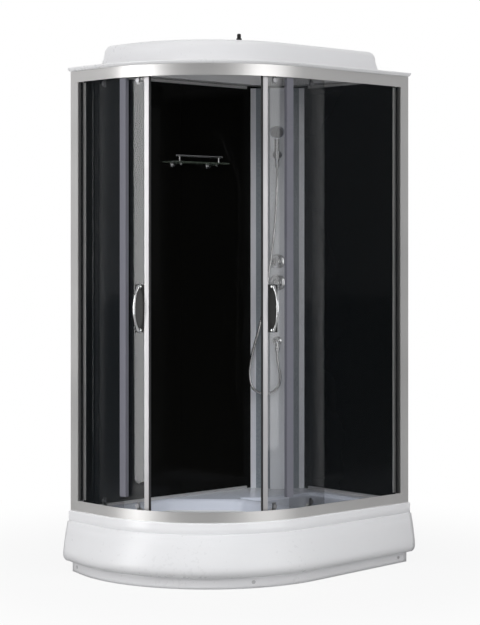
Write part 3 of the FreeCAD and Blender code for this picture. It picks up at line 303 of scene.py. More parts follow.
# Outlines in plan, and the rings that follow them.
def roundedPlan(bm, corners, height, steps=10):
    already = set(bm.faces)
    spots = [bm.verts.new((x, y, height)) for x, y, reach in corners]
    bm.faces.new(spots)
    for spot, (x, y, reach) in zip(spots, corners):
        if reach:
            bmesh.ops.bevel(bm, geom=[spot], offset=reach, offset_type="OFFSET", profile=0.5, material=-1,
                            segments=plan["arcSteps"] if reach > plan["arcFrom"] else steps,
                            affect="VERTICES")
    face = [face for face in bm.faces if face not in already][0]
    if face.normal.z < 0:
        face.normal_flip()
    ring = [loop.vert for loop in face.loops]
    bm.faces.remove(face)
    return ring


def ringEdges(bm, ring, closed=True):
    return [bm.edges.get(pair) for pair in zip(ring, ring[1:] + ring[:1] if closed else ring[1:])]


def nextRing(bm, ring, out, up, closed=True):
    made = bmesh.ops.extrude_edge_only(bm, edges=ringEdges(bm, ring, closed))["geom"]
    fresh = {vert for vert in made if isinstance(vert, bmesh.types.BMVert)}
    newRing = [next(edge.other_vert(vert) for edge in vert.link_edges if edge.other_vert(vert) in fresh)
               for vert in ring]
    if out:
        count = len(ring)
        for number, vert in enumerate(newRing):
            sides = []
            for first, second in ((number - 1, number), (number, number + 1)):
                if closed or (first >= 0 and second < count):
                    run = ring[second % count].co - ring[first].co
                    sides.append(Vector((run.y, -run.x, 0)).normalized())
            first, second = sides[0], sides[-1]
            vert.co = ring[number].co + (first + second) * (out / (1 + first.dot(second)))
    for vert in newRing:
        vert.co.z += up
    return newRing


def trace(bm, ring, marks, closed=True):
    # Rings through marks of (out, height); the first mark is where the ring already is.
    for (out, height), (nextOut, nextHeight) in zip(marks, marks[1:]):
        ring = nextRing(bm, ring, nextOut - out, nextHeight - height, closed)
    return ring


def bend(start, end, upright, steps=5):
    # Marks of a quarter round that leaves its start upright or level.
    marks = []
    for step in range(1, steps + 1):
        angle = math.radians(90 * step / steps)
        slow, fast = 1 - math.cos(angle), math.sin(angle)
        out, rise = (slow, fast) if upright else (fast, slow)
        marks.append((start[0] + (end[0] - start[0]) * out, start[1] + (end[1] - start[1]) * rise))
    return marks


def turnProfile(bm, marks, steps):
    # A turned shape about Z from marks of (radius, height).
    spots = [bm.verts.new((radius, 0, height)) for radius, height in marks]
    edges = [bm.edges.new(pair) for pair in zip(spots, spots[1:])]
    bmesh.ops.spin(bm, geom=spots + edges, cent=(0, 0, 0), axis=(0, 0, 1), angle=math.tau, steps=steps,
                   use_merge=True)


def aimed(spot, along, across=upward):
    side = along.cross(across)
    if side.length < 1e-6:
        side = Vector((1, 0, 0)).cross(along)
    side.normalize()
    level = side.cross(along)
    return Matrix.Translation(spot) @ Matrix((level, side, along)).transposed().to_4x4()


def bowReach(along, run, beyond, bow):
    # How far a skirt with a further bow stands from the plan's middle line, beside its straight run.
    end = plan["corner"] + beyond
    radius = end + bow
    angle = math.atan2(run, end) - math.acos(radius / math.hypot(run, end))
    meetAlong, meetReach = radius * math.sin(angle), radius * math.cos(angle)
    if along <= meetAlong:
        return math.sqrt(radius ** 2 - along ** 2)
    return meetReach + (end - meetReach) * (along - meetAlong) / (run - meetAlong)


def bowOut(vert, beyond, bow):
    x, y = vert.co.x - middle.x, vert.co.y - middle.y
    if y > 0:
        vert.co.x = middle.x - bowReach(y, plan["halfDepth"] - middle.y, beyond, bow)
    elif x > 0:
        vert.co.y = middle.y - bowReach(x, plan["halfLength"] - middle.x, beyond, bow)
    else:
        length = math.hypot(x, y)
        reach = plan["corner"] + beyond + bow
        vert.co.x = middle.x + x / length * reach
        vert.co.y = middle.y + y / length * reach


# Shower hose: one smooth line, then a wound metal tube along it.
hose = {
    "diameter": 0.012,
    "length": 1.284,
    "spoutOut": 0.058,
    "low": 0.865,
    "holder": 1.748,
    "holderOut": 0.092,
    "grip": 0.044,
    "gripLean": (0.375, 0.927),  # out and up
    "nut": 0.022,
    "straight": 0.048,  # last run, in line with the grip
    "pitch": 0.0013,  # between one ridge or groove and the next
    "groove": 0.88,
    "route": [(0, 0, 0), (0, 0, -0.041), (0.013, 0, -0.091), (0.012, 0.001, -0.141), (-0.012, 0.002, -0.174),
              (-0.051, 0.003, -0.188), (-0.090, 0.003, -0.178), (-0.118, 0.002, -0.148), (-0.126, 0.001, -0.087),
              (-0.111, 0, 0.002), (-0.076, -0.001, 0.120), (-0.052, -0.003, 0.250), (-0.031, -0.004, 0.400),
              (-0.012, -0.005, 0.545), (-0.002, -0.006, 0.690)],
}
gripWay = leaning(*hose["gripLean"])
gripSpot = columnSpot(0, hose["holderOut"], hose["holder"]) - gripWay * hose["grip"]


def tubeAlong(name, points, kind, radius=0.0, order=2, steps=12):
    curve = bpy.data.curves.new(name, "CURVE")
    curve.dimensions = "3D"
    spline = curve.splines.new(kind)
    spline.points.add(len(points) - 1)
    for mark, point in zip(spline.points, points):
        mark.co = (*point, 1)
    if kind == "NURBS":
        spline.order_u = order
        spline.use_endpoint_u = True
    curve.resolution_u = steps
    curve.bevel_depth = radius
    curve.bevel_resolution = 2
    carrier = bpy.data.objects.new(name, curve)
    mesh = bpy.data.meshes.new_from_object(carrier)
    bpy.data.objects.remove(carrier)
    return mesh


def evenMarks(line, gap):
    marks = [line[0]]
    left = gap
    for start, end in zip(line, line[1:]):
        run = end - start
        along = left
        while along <= run.length:
            marks.append(start + run.normalized() * along)
            along += gap
        left = along - run.length
    return marks


def makeHose():
    points = [columnSpot(along, hose["spoutOut"] + out, hose["low"] + height)
              for along, out, height in hose["route"]]
    end = gripSpot - gripWay * hose["nut"]
    points += [end - gripWay * hose["straight"], end]
    line = [vert.co.copy() for vert in tubeAlong("hoseLine", points, "NURBS", order=3, steps=32).vertices]
    marks = evenMarks(line, hose["pitch"])
    marks[-1] = line[-1]
    mesh = tubeAlong("hoseTube", marks, "POLY", hose["diameter"] / 2)
    sides = len(mesh.vertices) // len(marks)
    bm = bmesh.new()
    bm.from_mesh(mesh)
    bm.verts.ensure_lookup_table()
    for number in range(1, len(marks), 2):
        ring = bm.verts[number * sides:(number + 1) * sides]
        bmesh.ops.scale(bm, vec=(hose["groove"],) * 3, space=Matrix.Translation(-marks[number]), verts=ring)
    piece = addPiece("hose", bm, "cabin", "hose_metal", ("shower_hose",), sharp=70)


makeHose()
print("hose laid")

# Tray: an acrylic rim with a lip, a deep basin and a shallow dish in its seat ledge.
tray = {
    "overhang": 0.008,
    "lip": 0.046,
    "lipBow": 0.009,
    "lipEdge": 0.006,  # round of the lip's upper edge
    "lipRing": 0.02,  # a ring below the rim, so that the lip can bow
    "lipChamfer": 0.002,
    "lipReturn": 0.014,
    "bowFrom": 0.05,  # shares of the lip's fall
    "chamferFrom": 0.85,
    "wallSide": 0.001,  # the sides at the walls stay flat
    "lipEnd": 0.02,  # inside the frame's outer face
    "basinLow": (-0.523, -0.327),
    "basinHigh": (0.118, 0.352),
    "basinBow": 0.488,  # radius behind the doorway
    "basinTurn": 0.070,
    "basinCut": (-0.122, 0.112),  # where the cut corner starts
    "cutShare": 0.4142,  # of the turn's radius, by which the cut moves out
    "basinFloor": 0.1103,
    "basinEdge": 0.022,
    "basinDraft": 0.030,
    "basinRings": (0.3, 0.5, 0.7),
    "basinFoot": 0.028,
    "footShift": 0.012,
    "dishLow": (0.140, -0.297),
    "dishHigh": (0.515, 0.098),
    "dishCut": (0.257, 0.2145),
    "dishTurn": 0.034,
    "dishCutTurns": (0.02, 0.074),
    "dishDepth": 0.0138,
    "dishEdge": 0.005,
    "dishDraft": 0.009,
}


def frameInset(x, y):
    # How far inside the frame's outer face a spot lies in plan.
    if x < middle.x and y < middle.y:
        front = plan["corner"] - math.hypot(x - middle.x, y - middle.y)
    else:
        front = min(x + plan["halfLength"], y + plan["halfDepth"])
    return min(front, plan["halfLength"] - x, plan["halfDepth"] - y)


def trayLip(bm):
    rim, over, edge, deep = plan["rim"], tray["overhang"], tray["lipEdge"], tray["lip"]
    left, front = -plan["halfLength"] - over, -plan["halfDepth"] - over
    right, back = plan["halfLength"], plan["halfDepth"]
    lip = roundedPlan(bm, [(left, front, plan["corner"] + over), (right, front, 0), (right, back, 0),
                           (left, back, 0)], rim - edge)
    top = trace(bm, lip, [(0, -edge)] + bend((0, -edge), (-edge, 0), True))
    low = trace(bm, lip, [(0, -edge), (0, -tray["lipRing"]), (0, tray["lipChamfer"] - deep),
                          (-tray["lipChamfer"], -deep), (-tray["lipReturn"], -deep)])
    for vert in bm.verts:
        fall = (rim - edge - vert.co.z) / deep
        free = vert.co.x < right - tray["wallSide"] and vert.co.y < back - tray["wallSide"]
        if fall > tray["bowFrom"] and vert not in low and free:
            inset = over - (tray["lipChamfer"] if fall > tray["chamferFrom"] else 0)
            bowOut(vert, inset, tray["lipBow"] * fall)
    return top


def trayBasin(bm):
    lowX, lowY = tray["basinLow"]
    highX, highY = tray["basinHigh"]
    cutX, cutY = tray["basinCut"]
    rim, grow, foot, draft = plan["rim"], tray["basinEdge"], tray["basinFoot"], tray["basinDraft"]
    turn = tray["basinTurn"] + grow
    shift = turn * tray["cutShare"]
    cutTurn = turn * math.tan(math.radians(22.5))
    basin = roundedPlan(bm, [
        (lowX - grow, lowY - grow, tray["basinBow"] + grow), (highX + grow, lowY - grow, turn),
        (highX + grow, cutY + shift, cutTurn), (cutX + shift, highY + grow, cutTurn),
        (lowX - grow, highY + grow, turn)], rim, 14)
    depth = rim - tray["basinFloor"]
    marks = [(grow, 0)] + bend((grow, 0), (0, -grow), False, 6)
    marks += [(-draft * share, -depth * share) for share in tray["basinRings"]]
    marks.append((tray["footShift"] - draft, foot - depth))
    marks += bend(marks[-1], (tray["footShift"] - draft - foot, -depth), True, 6)
    bm.faces.new(trace(bm, basin, marks))
    return basin


def trayDish(bm):
    gap, turn = tray["dishEdge"], tray["dishTurn"]
    left, front = tray["dishLow"][0] - gap, tray["dishLow"][1] - gap
    right, back = tray["dishHigh"][0] + gap, tray["dishHigh"][1] + gap
    cutX, cutY = tray["dishCut"]
    nearTurn, farTurn = tray["dishCutTurns"]
    dish = roundedPlan(bm, [(left, front, turn), (right, front, turn), (right, back, turn),
                            (cutX, back, nearTurn), (left, cutY, farTurn)], plan["rim"], 12)
    marks = [(gap, 0)] + bend((gap, 0), (0, -gap), False, 4)
    marks += bend((0, -gap), (-tray["dishDraft"], -tray["dishDepth"]), True, 5)
    bm.faces.new(trace(bm, dish, marks))
    return dish


def makeTray():
    bm = bmesh.new()
    loops = []
    for makeRing in (trayLip, trayBasin, trayDish):
        loops += ringEdges(bm, makeRing(bm))
    bmesh.ops.triangle_fill(bm, use_beauty=True, edges=loops, normal=upward)
    # The "inside" mask marks where the painted bluish shade goes: the tray more than lipEnd inside the frame's
    # outer face.
    share = bm.verts.layers.float.new("inside")
    for vert in bm.verts:
        vert[share] = 1 if frameInset(vert.co.x, vert.co.y) > tray["lipEnd"] else 0
    addPiece("tray", bm, "cabin", "white_acrylic", ("tray_basin",), "tray_acrylic", sharp=50)


makeTray()

# Apron: a bowed skirt under the lip, rounding under to a recessed foot.
apron = {
    "marks": [  # height, beyond the frame, further bow at the rounded corner
        (0.2065, 0.003, 0.0095), (0.2076, 0.0085, 0.0098), (0.2068, 0.0105, 0.0100), (0.2050, 0.0115, 0.0103),
        (0.1950, 0.0134, 0.0125), (0.1830, 0.0156, 0.0155), (0.1805, 0.0170, 0.0162), (0.1640, 0.0200, 0.0200),
        (0.1450, 0.0232, 0.0250), (0.1260, 0.0264, 0.0300), (0.1080, 0.0290, 0.0345), (0.0930, 0.0310, 0.0380),
        (0.0820, 0.0318, 0.0396), (0.0740, 0.0314, 0.0394), (0.0670, 0.0298, 0.0384), (0.0610, 0.0268, 0.0368),
        (0.0560, 0.0226, 0.0346), (0.0520, 0.0170, 0.0320), (0.0495, 0.0090, 0.0300), (0.0484, -0.0040, 0.0330),
        (0.0470, -0.0145, 0.0400), (0.0440, -0.0166, 0.0418), (0.0300, -0.0170, 0.0420), (0.0120, -0.0170, 0.0420),
        (0.0000, -0.0170, 0.0420)],
    "wall": 0.004,
    "sideSteps": (16, 24),  # along the short side and the long side
    "centreHeight": 0.1,
}


def makeApron():
    bm = bmesh.new()
    start = bm.verts.new((-plan["halfLength"], middle.y, 0))
    bmesh.ops.spin(bm, geom=[start], cent=middle, axis=(0, 0, 1), angle=math.radians(90), steps=plan["arcSteps"])
    chain = sorted(bm.verts, key=lambda vert: math.atan2(vert.co.y - middle.y, vert.co.x - middle.x) % math.tau)
    shortSteps, longSteps = apron["sideSteps"]
    for end, target, count in ((0, Vector((-plan["halfLength"], plan["halfDepth"], 0)), shortSteps),
                               (-1, Vector((plan["halfLength"], -plan["halfDepth"], 0)), longSteps)):
        run = (target - chain[end].co) / count
        for step in range(count):
            made = bmesh.ops.extrude_vert_indiv(bm, verts=[chain[end]])["verts"][0]
            made.co = chain[end].co + run
            chain.insert(0 if end == 0 else len(chain), made)
    rings = [chain]
    while len(rings) < len(apron["marks"]):
        rings.append(nextRing(bm, rings[-1], 0, 0, closed=False))
    for ring, (height, beyond, bow) in zip(rings, apron["marks"]):
        for vert in ring:
            vert.co.z = height
            bowOut(vert, beyond, bow)
    bmesh.ops.recalc_face_normals(bm, faces=bm.faces)
    bm.faces.ensure_lookup_table()
    facing = bm.faces[len(chain) // 2]
    if facing.normal.dot(facing.calc_center_median() - Vector((*middle.xy, apron["centreHeight"]))) < 0:
        bmesh.ops.reverse_faces(bm, faces=bm.faces)
    piece = addPiece("apron", bm, "cabin", "white_acrylic", ("front_apron",), sharp=50, turnOut=False)
    wall = piece.modifiers.new("wall", "SOLIDIFY")
    wall.thickness = apron["wall"]
    wall.offset = -1


makeApron()
print("tray and apron made")

# Roof: a thin flange over the frame and a low dome, hollow inside.
roof = {
    "overhang": 0.018,
    "flangeTurn": 0.006,
    "flangeTop": 2.074,
    "flangeEdge": 0.004,
    "flangeTuck": (-0.0015, -0.003),
    "seat": 2.0592,  # underside, just over the frame
    "under": 0.009,
    "domeInset": 0.076,
    "domeTop": 2.1675,
    "round": 0.050,
    "wall": 0.004,
    "step": 0.014,
    # beyond the dome's foot, and above the flange or against the dome's top
    "footMarks": [(0.012, 0.007), (0.003, 0.008), (0, 0.011), (-0.008, 0.032)],
    "shoulder": (-0.0135, -0.038),
    "crown": [(-0.046, -0.002), (-0.0475, -0.0018)],
    "insideFoot": (-0.008, 0.030),
    "insideShoulder": (-0.0135, -0.040),
    "ceiling": (-0.042, -0.002),
}


def domePlan(inset):
    half, deep, turn = plan["halfLength"], plan["halfDepth"], roof["round"] + roof["domeInset"] - inset
    return [(inset - half, inset - deep, plan["corner"] - inset), (half - inset, inset - deep, turn),
            (half - inset, deep - inset, turn), (inset - half, deep - inset, turn)]


def lifted(mark, height):
    return mark[0], mark[1] + height


def makeRoof():
    bm = bmesh.new()
    over, turn, edge = roof["overhang"], roof["flangeTurn"], roof["flangeEdge"]
    left, front = -plan["halfLength"] - over, -plan["halfDepth"] - over
    right, back = plan["halfLength"], plan["halfDepth"]
    top, seat = roof["flangeTop"], roof["seat"]
    rimHeight = top - edge
    rim = roundedPlan(bm, [(left, front, plan["corner"] + over), (right, front, turn), (right, back, turn),
                           (left, back, turn)], rimHeight, 4)
    upper = trace(bm, rim, [(0, rimHeight)] + bend((0, rimHeight), (-edge, top), True, 4))
    lower = trace(bm, rim, [(0, rimHeight), lifted(roof["flangeTuck"], rimHeight), (-roof["under"], seat)])
    inset, high = roof["domeInset"], roof["domeTop"]
    foot = roundedPlan(bm, domePlan(inset - roof["step"]), top, 12)
    sides = [(roof["step"], top)] + [lifted(mark, top) for mark in roof["footMarks"]]
    sides.append(lifted(roof["shoulder"], high))
    crownStart, crownEnd = [lifted(mark, high) for mark in roof["crown"]]
    crown = trace(bm, foot, sides + bend(sides[-1], crownStart, True, 7) + [crownEnd])
    bmesh.ops.triangle_fill(bm, use_beauty=True, edges=ringEdges(bm, upper) + ringEdges(bm, foot), normal=upward)
    bm.faces.new(crown)
    wall = roof["wall"]
    mouth = roundedPlan(bm, domePlan(inset + wall), seat, 12)
    inside = [(0, seat), lifted(roof["insideFoot"], top), lifted(roof["insideShoulder"], high - wall)]
    ceiling = trace(bm, mouth, inside + bend(inside[-1], lifted(roof["ceiling"], high - wall), True, 6))
    bmesh.ops.triangle_fill(bm, use_beauty=True, edges=ringEdges(bm, lower) + ringEdges(bm, mouth),
                            normal=-upward)
    bm.faces.new(ceiling)
    addPiece("roof", bm, "cabin", "white_acrylic", ("roof_shell",), sharp=50)


makeRoof()
print("roof made")

# Door handles: a chrome bow that thins towards two round feet.
handle = {
    "height": 1.093,
    "bow": 0.141,
    "sweep": 76,
    "endInset": 0.016,
    "plateInset": 0.026,
    "bar": 0.0058,
    "barSides": 20,
    "oval": (0.9, 1.05, 0.9),
    "full": 0.9,  # share of the bar's radius at the middle
    "neck": 0.26,  # how much thinner the bow is between its middle and its feet
    "neckShape": 1.8,
    "flare": 0.35,
    "flareFrom": 0.7,
    "footMarks": [(0.0098, 0), (0.0098, 0.0015), (0.0078, 0.003), (0.0068, 0.009)],
    "footEnd": 0.0165,
    "angles": {"left": 196.5, "right": 255.9},
    "steps": 44,
}


def makeHandle(side):
    bm = bmesh.new()
    half = math.radians(handle["sweep"] / 2)
    bow, height = handle["bow"], handle["height"]
    bowMiddle = Vector((plan["corner"] - handle["endInset"] - bow * math.cos(half), 0, height))
    made = bmesh.ops.create_circle(bm, segments=handle["barSides"], radius=handle["bar"])["verts"]
    bmesh.ops.translate(bm, vec=(bow, 0, 0), verts=made)
    bmesh.ops.rotate(bm, cent=(0, 0, 0), matrix=Matrix.Rotation(half, 3, "Y"), verts=made)
    bmesh.ops.translate(bm, vec=bowMiddle, verts=made)
    edges = list(bm.edges)
    bmesh.ops.spin(bm, geom=made + edges, cent=bowMiddle, axis=(0, -1, 0), angle=half * 2, steps=handle["steps"])
    for vert in bm.verts:
        way = vert.co - bowMiddle
        share = abs(math.atan2(way.z, way.x)) / half
        core = bowMiddle + Vector((way.x, 0, way.z)).normalized() * bow
        thin = handle["neck"] * math.sin(math.pi * min(1, share) ** handle["neckShape"])
        flare = handle["flare"] * max(0, share - handle["flareFrom"]) / (1 - handle["flareFrom"])
        vert.co = core + (vert.co - core) * Vector(handle["oval"]) * (handle["full"] - thin + flare)
    low = plan["corner"] - handle["plateInset"]
    foot = [lifted(mark, low) for mark in handle["footMarks"]]
    for sign in (-1, 1):
        tip = bmesh.new()
        turnProfile(tip, [(0, low)] + foot + bend(foot[-1], (0, low + handle["footEnd"]), True, 6), 24)
        bmesh.ops.rotate(tip, cent=(0, 0, 0), matrix=Matrix.Rotation(math.radians(90), 3, "Y"), verts=tip.verts)
        bmesh.ops.translate(tip, vec=(0, 0, height + sign * bow * math.sin(half)), verts=tip.verts)
        joinInto(bm, tip)
    bmesh.ops.rotate(bm, cent=(0, 0, 0), matrix=Matrix.Rotation(math.radians(handle["angles"][side]), 3, "Z"),
                     verts=bm.verts)
    bmesh.ops.translate(bm, vec=middle, verts=bm.verts)
    addPiece(side + "Handle", bm, side + "_door", "chrome", (side + "_handle",), sharp=60)


for side in ("left", "right"):
    makeHandle(side)
print("handles made")

# Column fittings, turned about the way out of the column: marks of (radius, height).
controlHeight = {"diverter": 1.271, "mixer": 1.177}
plate = {
    "radius": {"diverter": 0.033, "mixer": 0.036},
    "hole": 0.0115,
    "edge": (0.0006, 0.001),
    "rise": [(0, 0.0024), (0.0006, 0.0031), (0.0014, 0.0036), (0.0080, 0.0070), (0.0090, 0.0068),
             (0.0100, 0.0074)],  # in from the plate's radius
    "hub": [(0.019, 0.0079), (0.006, 0.0080), (0.006, 0.012)],
}
knob = {
    "side": [(0.0052, 0.0085), (0.0200, 0.0085), (0.0208, 0.0094), (0.0208, 0.0125), (0.0196, 0.0150),
             (0.0194, 0.0240)],
    "top": [(0.0120, 0.0335), (0.0100, 0.0335), (0.0092, 0.0342), (0.0085, 0.0350), (0.0045, 0.0366),
            (0, 0.0368)],
    "flutes": 12,
    "fluteRange": (0.0145, 0.031),
    "fluteDepth": 0.055,
    "fluteShape": 3,
}


def onColumn(height):
    return aimed(columnSpot(0, column["front"], height), outward)


def makePlate(name):
    bm = bmesh.new()
    radius = plate["radius"][name]
    inset, edge = plate["edge"]
    start = (radius - inset, 0)
    turnProfile(bm, [(plate["hole"], 0), start] + bend(start, (radius, edge), False, 2)
                + [(radius - out, height) for out, height in plate["rise"]] + plate["hub"], 64)
    bm.transform(onColumn(controlHeight[name]))
    addPiece(name + "Plate", bm, "cabin", "chrome", (name + "_plate",), sharp=40)


def makeKnob(name):
    bm = bmesh.new()
    side, top = knob["side"], knob["top"]
    turnProfile(bm, side + bend(side[-1], top[0], True, 6) + top[1:], 72)
    lowest, highest = knob["fluteRange"]
    for vert in bm.verts:
        if lowest < vert.co.z < highest:
            angle = math.atan2(vert.co.y, vert.co.x)
            wave = max(0, math.cos(angle * knob["flutes"])) ** knob["fluteShape"]
            vert.co.xy *= 1 - knob["fluteDepth"] * wave
    bm.transform(onColumn(controlHeight[name]))
    addPiece(name + "Knob", bm, name, "chrome", (name + "_knob",), sharp=40)


for name in ("diverter", "mixer"):
    makePlate(name)
    makeKnob(name)

outlet = {
    "height": 0.917,
    "flange": [(0.0115, 0), (0.0215, 0)],
    "flangeEdge": [(0.0215, 0.0005), (0.0185, 0.0042)],
    "neck": [(0.0125, 0.0055), (0.0100, 0.0090)],
    "nose": [(0.0100, 0.0290), (0, 0.0348)],
    "spout": [(0, 0), (0.0088, 0), (0.0088, 0.0260), (0.0080, 0.0266), (0.0080, 0.0272), (0.0092, 0.0280),
              (0.0092, 0.0300), (0, 0.0300)],
}


def makeOutlet():
    bm = bmesh.new()
    neck, nose = outlet["neck"], outlet["nose"]
    turnProfile(bm, outlet["flange"] + bend(*outlet["flangeEdge"], True, 4) + neck[:1] + bend(*neck, False, 3)
                + nose[:1] + bend(*nose, True, 6), 40)
    bm.transform(onColumn(outlet["height"]))
    spout = bmesh.new()
    turnProfile(spout, outlet["spout"], 36)
    spout.transform(aimed(columnSpot(0, hose["spoutOut"], outlet["height"]), -upward, outward))
    joinInto(bm, spout)
    addPiece("outlet", bm, "cabin", "chrome", ("hose_outlet",), sharp=40)


makeOutlet()

# Handset: a tapered grip, a round head and a grey spray face with rings of nozzles.
handset = {
    "faceLean": (0.8, -0.6),  # out and up
    "headAlong": 0.159,
    "headOut": 0.016,
    "grip": [(0, 0), (0.0095, 0), (0.0100, 0.001), (0.0100, 0.014), (0.0118, 0.018), (0.0120, 0.050),
             (0.0110, 0.085), (0.0106, 0.120), (0.0114, 0.148), (0.0120, 0.1595), (0.0090, 0.1628), (0, 0.163)],
    "head": [(0, -0.0158), (0.009, -0.0152), (0.016, -0.0138), (0.024, -0.0080), (0.0295, -0.0022),
             (0.0321, 0.0012), (0.0325, 0.0030), (0.0325, 0.0066), (0.0315, 0.0079), (0.0287, 0.0080),
             (0.0281, 0.0072), (0, 0.0072)],
    "face": [(0, 0.0074), (0.0280, 0.0074), (0.0280, 0.0084), (0.0260, 0.0095), (0.0245, 0.0096),
             (0.0238, 0.0092), (0, 0.0100)],
    "nozzleRings": [(0.007, 6), (0.014, 12), (0.021, 18)],
    "nozzle": {"segments": 8, "radius1": 0.0011, "radius2": 0.0007, "depth": 0.0016},
    "nozzleHeight": 0.0101,
}
faceWay = leaning(*handset["faceLean"])
headSpot = gripSpot + gripWay * handset["headAlong"] + faceWay * handset["headOut"]


def makeHandset():
    bm = bmesh.new()
    turnProfile(bm, handset["grip"], 36)
    bm.transform(aimed(gripSpot, gripWay, outward))
    head = bmesh.new()
    turnProfile(head, handset["head"], 56)
    head.transform(aimed(headSpot, faceWay))
    joinInto(bm, head)
    addPiece("handsetBody", bm, "cabin", "chrome_plastic", ("handset",), sharp=45)
    face = bmesh.new()
    turnProfile(face, handset["face"], 56)
    for reach, count in handset["nozzleRings"]:
        for number in range(count):
            angle = math.tau * number / count
            made = bmesh.ops.create_cone(face, cap_ends=True, **handset["nozzle"])["verts"]
            spot = (reach * math.cos(angle), reach * math.sin(angle), handset["nozzleHeight"])
            bmesh.ops.translate(face, vec=spot, verts=made)
    face.transform(aimed(headSpot, faceWay))
    addPiece("sprayFace", face, "cabin", "grey_plastic", ("spray_face",), sharp=30)


makeHandset()
print("fittings made")

# Softened copies of the plain pieces.
for node, slot, width, finish in (
        ("apron_screws", "cap_plastic", 0.0012, None),
        ("column_cover", "light_panel", 0.0018, None),
        ("column_trims", "satin_aluminium", 0.0008, "pale_trim"),
        ("roof_gland", "black_plastic", 0.0008, None),
        ("shelf_brackets", "chrome", 0.0012, None),
        ("shelf_rail", "chrome", 0.0006, None),
        ("hose_nuts", "chrome_plastic", 0.0008, None),
        ("drain_cover", "chrome", 0.0006, None)):
    softCopy(node, slot, width, finish)
print("softened copies made")

# Studio: a pale floor, two tall soft boxes, one overhead, one in front, a spot and a dim room.
studio = {
    "room": (0.26, 0.26, 0.265),
    "glossyRoom": (0.30, 0.30, 0.305),
    "aim": (0, 0, 1.1),
    "boxes": {  # all but the front one show in glossy surfaces
        "leftBox": {"angle": 168, "reach": 3.2, "height": 1.5, "wide": 1.0, "tall": 3.0, "power": 40,
                    "shown": True},
        "rightBox": {"angle": 273, "reach": 4.6, "height": 1.5, "wide": 2.8, "tall": 3.0, "power": 51,
                     "shown": True},
        "topBox": {"angle": 227, "reach": 0.8, "height": 4.6, "wide": 3.0, "tall": 3.0, "power": 28,
                   "shown": True},
        "frontBox": {"angle": 227, "reach": 5.0, "height": 3.4, "wide": 3.6, "tall": 2.4, "power": 72,
                     "shown": False},
    },
    # from high up in front, in through the doorway, onto the basin
    "inside": {"angle": 227, "reach": 4.3, "height": 5.2, "aim": (0.1, 0.12, 0.25), "cone": 12, "soft": 0.5,
               "power": 430, "size": 0.4, "colour": (0.92, 0.96, 1.0)},
    "floorHalf": 30,
    "floorColour": (0.6, 0.6, 0.6),
    "floorShine": (0.45, 0.45, 0.45),  # how the floor in front shows in glass and metal
    "floorRough": 0.9,
    "floorSpecular": 0.1,
    "floorShow": (0.9, 1.0),  # share of plain white, by the cabin and further out
    "floorFade": (0.7, 2.2),
    "backWay": (0.68, 0.73, 0.0),
    "backFade": (0.2, 0.6),
}


def placeLamp(name, lamp, look, aim, shown):
    piece = bpy.data.objects.new(name, lamp)
    piece.visible_glossy = shown
    angle = math.radians(look["angle"])
    piece.location = (look["reach"] * math.cos(angle), look["reach"] * math.sin(angle), look["height"])
    piece.rotation_euler = (Vector(aim) - piece.location).to_track_quat("-Z", "Y").to_euler()
    scene.collection.objects.link(piece)


def makeLamps():
    for name, box in studio["boxes"].items():
        lamp = bpy.data.lights.new(name, "AREA")
        lamp.shape = "RECTANGLE"
        lamp.size, lamp.size_y = box["wide"], box["tall"]
        lamp.energy = box["power"]
        placeLamp(name, lamp, box, studio["aim"], box["shown"])
    look = studio["inside"]
    lamp = bpy.data.lights.new("inside", "SPOT")
    lamp.spot_size = math.radians(look["cone"])
    lamp.spot_blend = look["soft"]
    lamp.shadow_soft_size = look["size"]
    lamp.energy = look["power"]
    lamp.color = look["colour"]
    placeLamp("inside", lamp, look, look["aim"], False)


def backward(tree, place):
    # From 0 in front of the cabin to 1 behind it, by the way from its middle.
    level = tree.nodes.new("ShaderNodeVectorMath")
    level.operation = "NORMALIZE"
    tree.links.new(place, level.inputs[0])
    dot = tree.nodes.new("ShaderNodeVectorMath")
    dot.operation = "DOT_PRODUCT"
    dot.inputs[1].default_value = studio["backWay"]
    tree.links.new(level.outputs["Vector"], dot.inputs[0])
    return mapRange(tree, dot.outputs["Value"], studio["backFade"], (0, 1), "SMOOTHSTEP")


def whiteShare(tree, path, behind):
    # All white for the camera; metal and glass show the white that is behind the cabin.
    shown = combine(tree, "MAXIMUM", path.outputs["Is Glossy Ray"], path.outputs["Is Transmission Ray"])
    return combine(tree, "MAXIMUM", path.outputs["Is Camera Ray"], combine(tree, "MULTIPLY", shown, behind))


def showEither(tree, share, first, second, output):
    mix = tree.nodes.new("ShaderNodeMixShader")
    tree.links.new(share, mix.inputs["Fac"])
    tree.links.new(first, mix.inputs[1])
    tree.links.new(second, mix.inputs[2])
    tree.links.new(mix.outputs["Shader"], tree.nodes[output].inputs["Surface"])


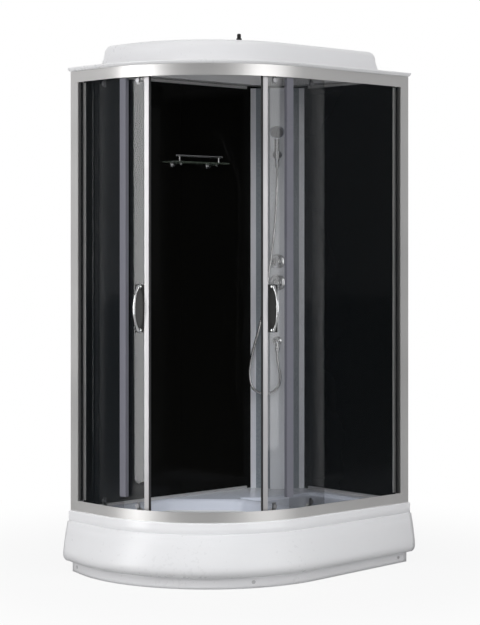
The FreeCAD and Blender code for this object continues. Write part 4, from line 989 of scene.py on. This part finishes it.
def makeWorld():
    world = bpy.data.worlds.new("studio")
    scene.world = world
    world.use_nodes = True
    tree = world.node_tree
    path = tree.nodes.new("ShaderNodeLightPath")
    tone = colourMix(tree, path.outputs["Is Glossy Ray"], studio["room"], studio["glossyRoom"])
    room = tree.nodes["Background"]
    tree.links.new(tone.outputs["Result"], room.inputs["Color"])
    white = tree.nodes.new("ShaderNodeBackground")
    white.inputs["Color"].default_value = (1, 1, 1, 1)
    way = tree.nodes.new("ShaderNodeTexCoord")
    share = whiteShare(tree, path, backward(tree, way.outputs["Generated"]))
    showEither(tree, share, room.outputs["Background"], white.outputs["Background"], "World Output")


def makeFloor():
    bm = bmesh.new()
    bmesh.ops.create_grid(bm, x_segments=1, y_segments=1, size=studio["floorHalf"])
    mesh = bpy.data.meshes.new("floor")
    bm.to_mesh(mesh)
    bm.free()
    floor = bpy.data.objects.new("floor", mesh)
    scene.collection.objects.link(floor)
    material = bpy.data.materials.new("paleFloor")
    material.use_nodes = True
    tree = material.node_tree
    shader = tree.nodes["Principled BSDF"]
    path = tree.nodes.new("ShaderNodeLightPath")
    tone = colourMix(tree, path.outputs["Is Glossy Ray"], studio["floorColour"], studio["floorShine"])
    tree.links.new(tone.outputs["Result"], shader.inputs["Base Color"])
    shader.inputs["Roughness"].default_value = studio["floorRough"]
    shader.inputs["Specular IOR Level"].default_value = studio["floorSpecular"]
    white = tree.nodes.new("ShaderNodeEmission")
    spot = tree.nodes.new("ShaderNodeTexCoord")
    reach = tree.nodes.new("ShaderNodeVectorMath")
    reach.operation = "LENGTH"
    tree.links.new(spot.outputs["Object"], reach.inputs[0])
    fade = mapRange(tree, reach.outputs["Value"], studio["floorFade"], studio["floorShow"], "SMOOTHSTEP")
    seen = whiteShare(tree, path, backward(tree, spot.outputs["Object"]))
    showEither(tree, combine(tree, "MULTIPLY", seen, fade), shader.outputs["BSDF"], white.outputs["Emission"],
               "Material Output")
    mesh.materials.append(material)


makeLamps()
makeWorld()
makeFloor()
scene.view_settings.view_transform = "Standard"
print("studio set")
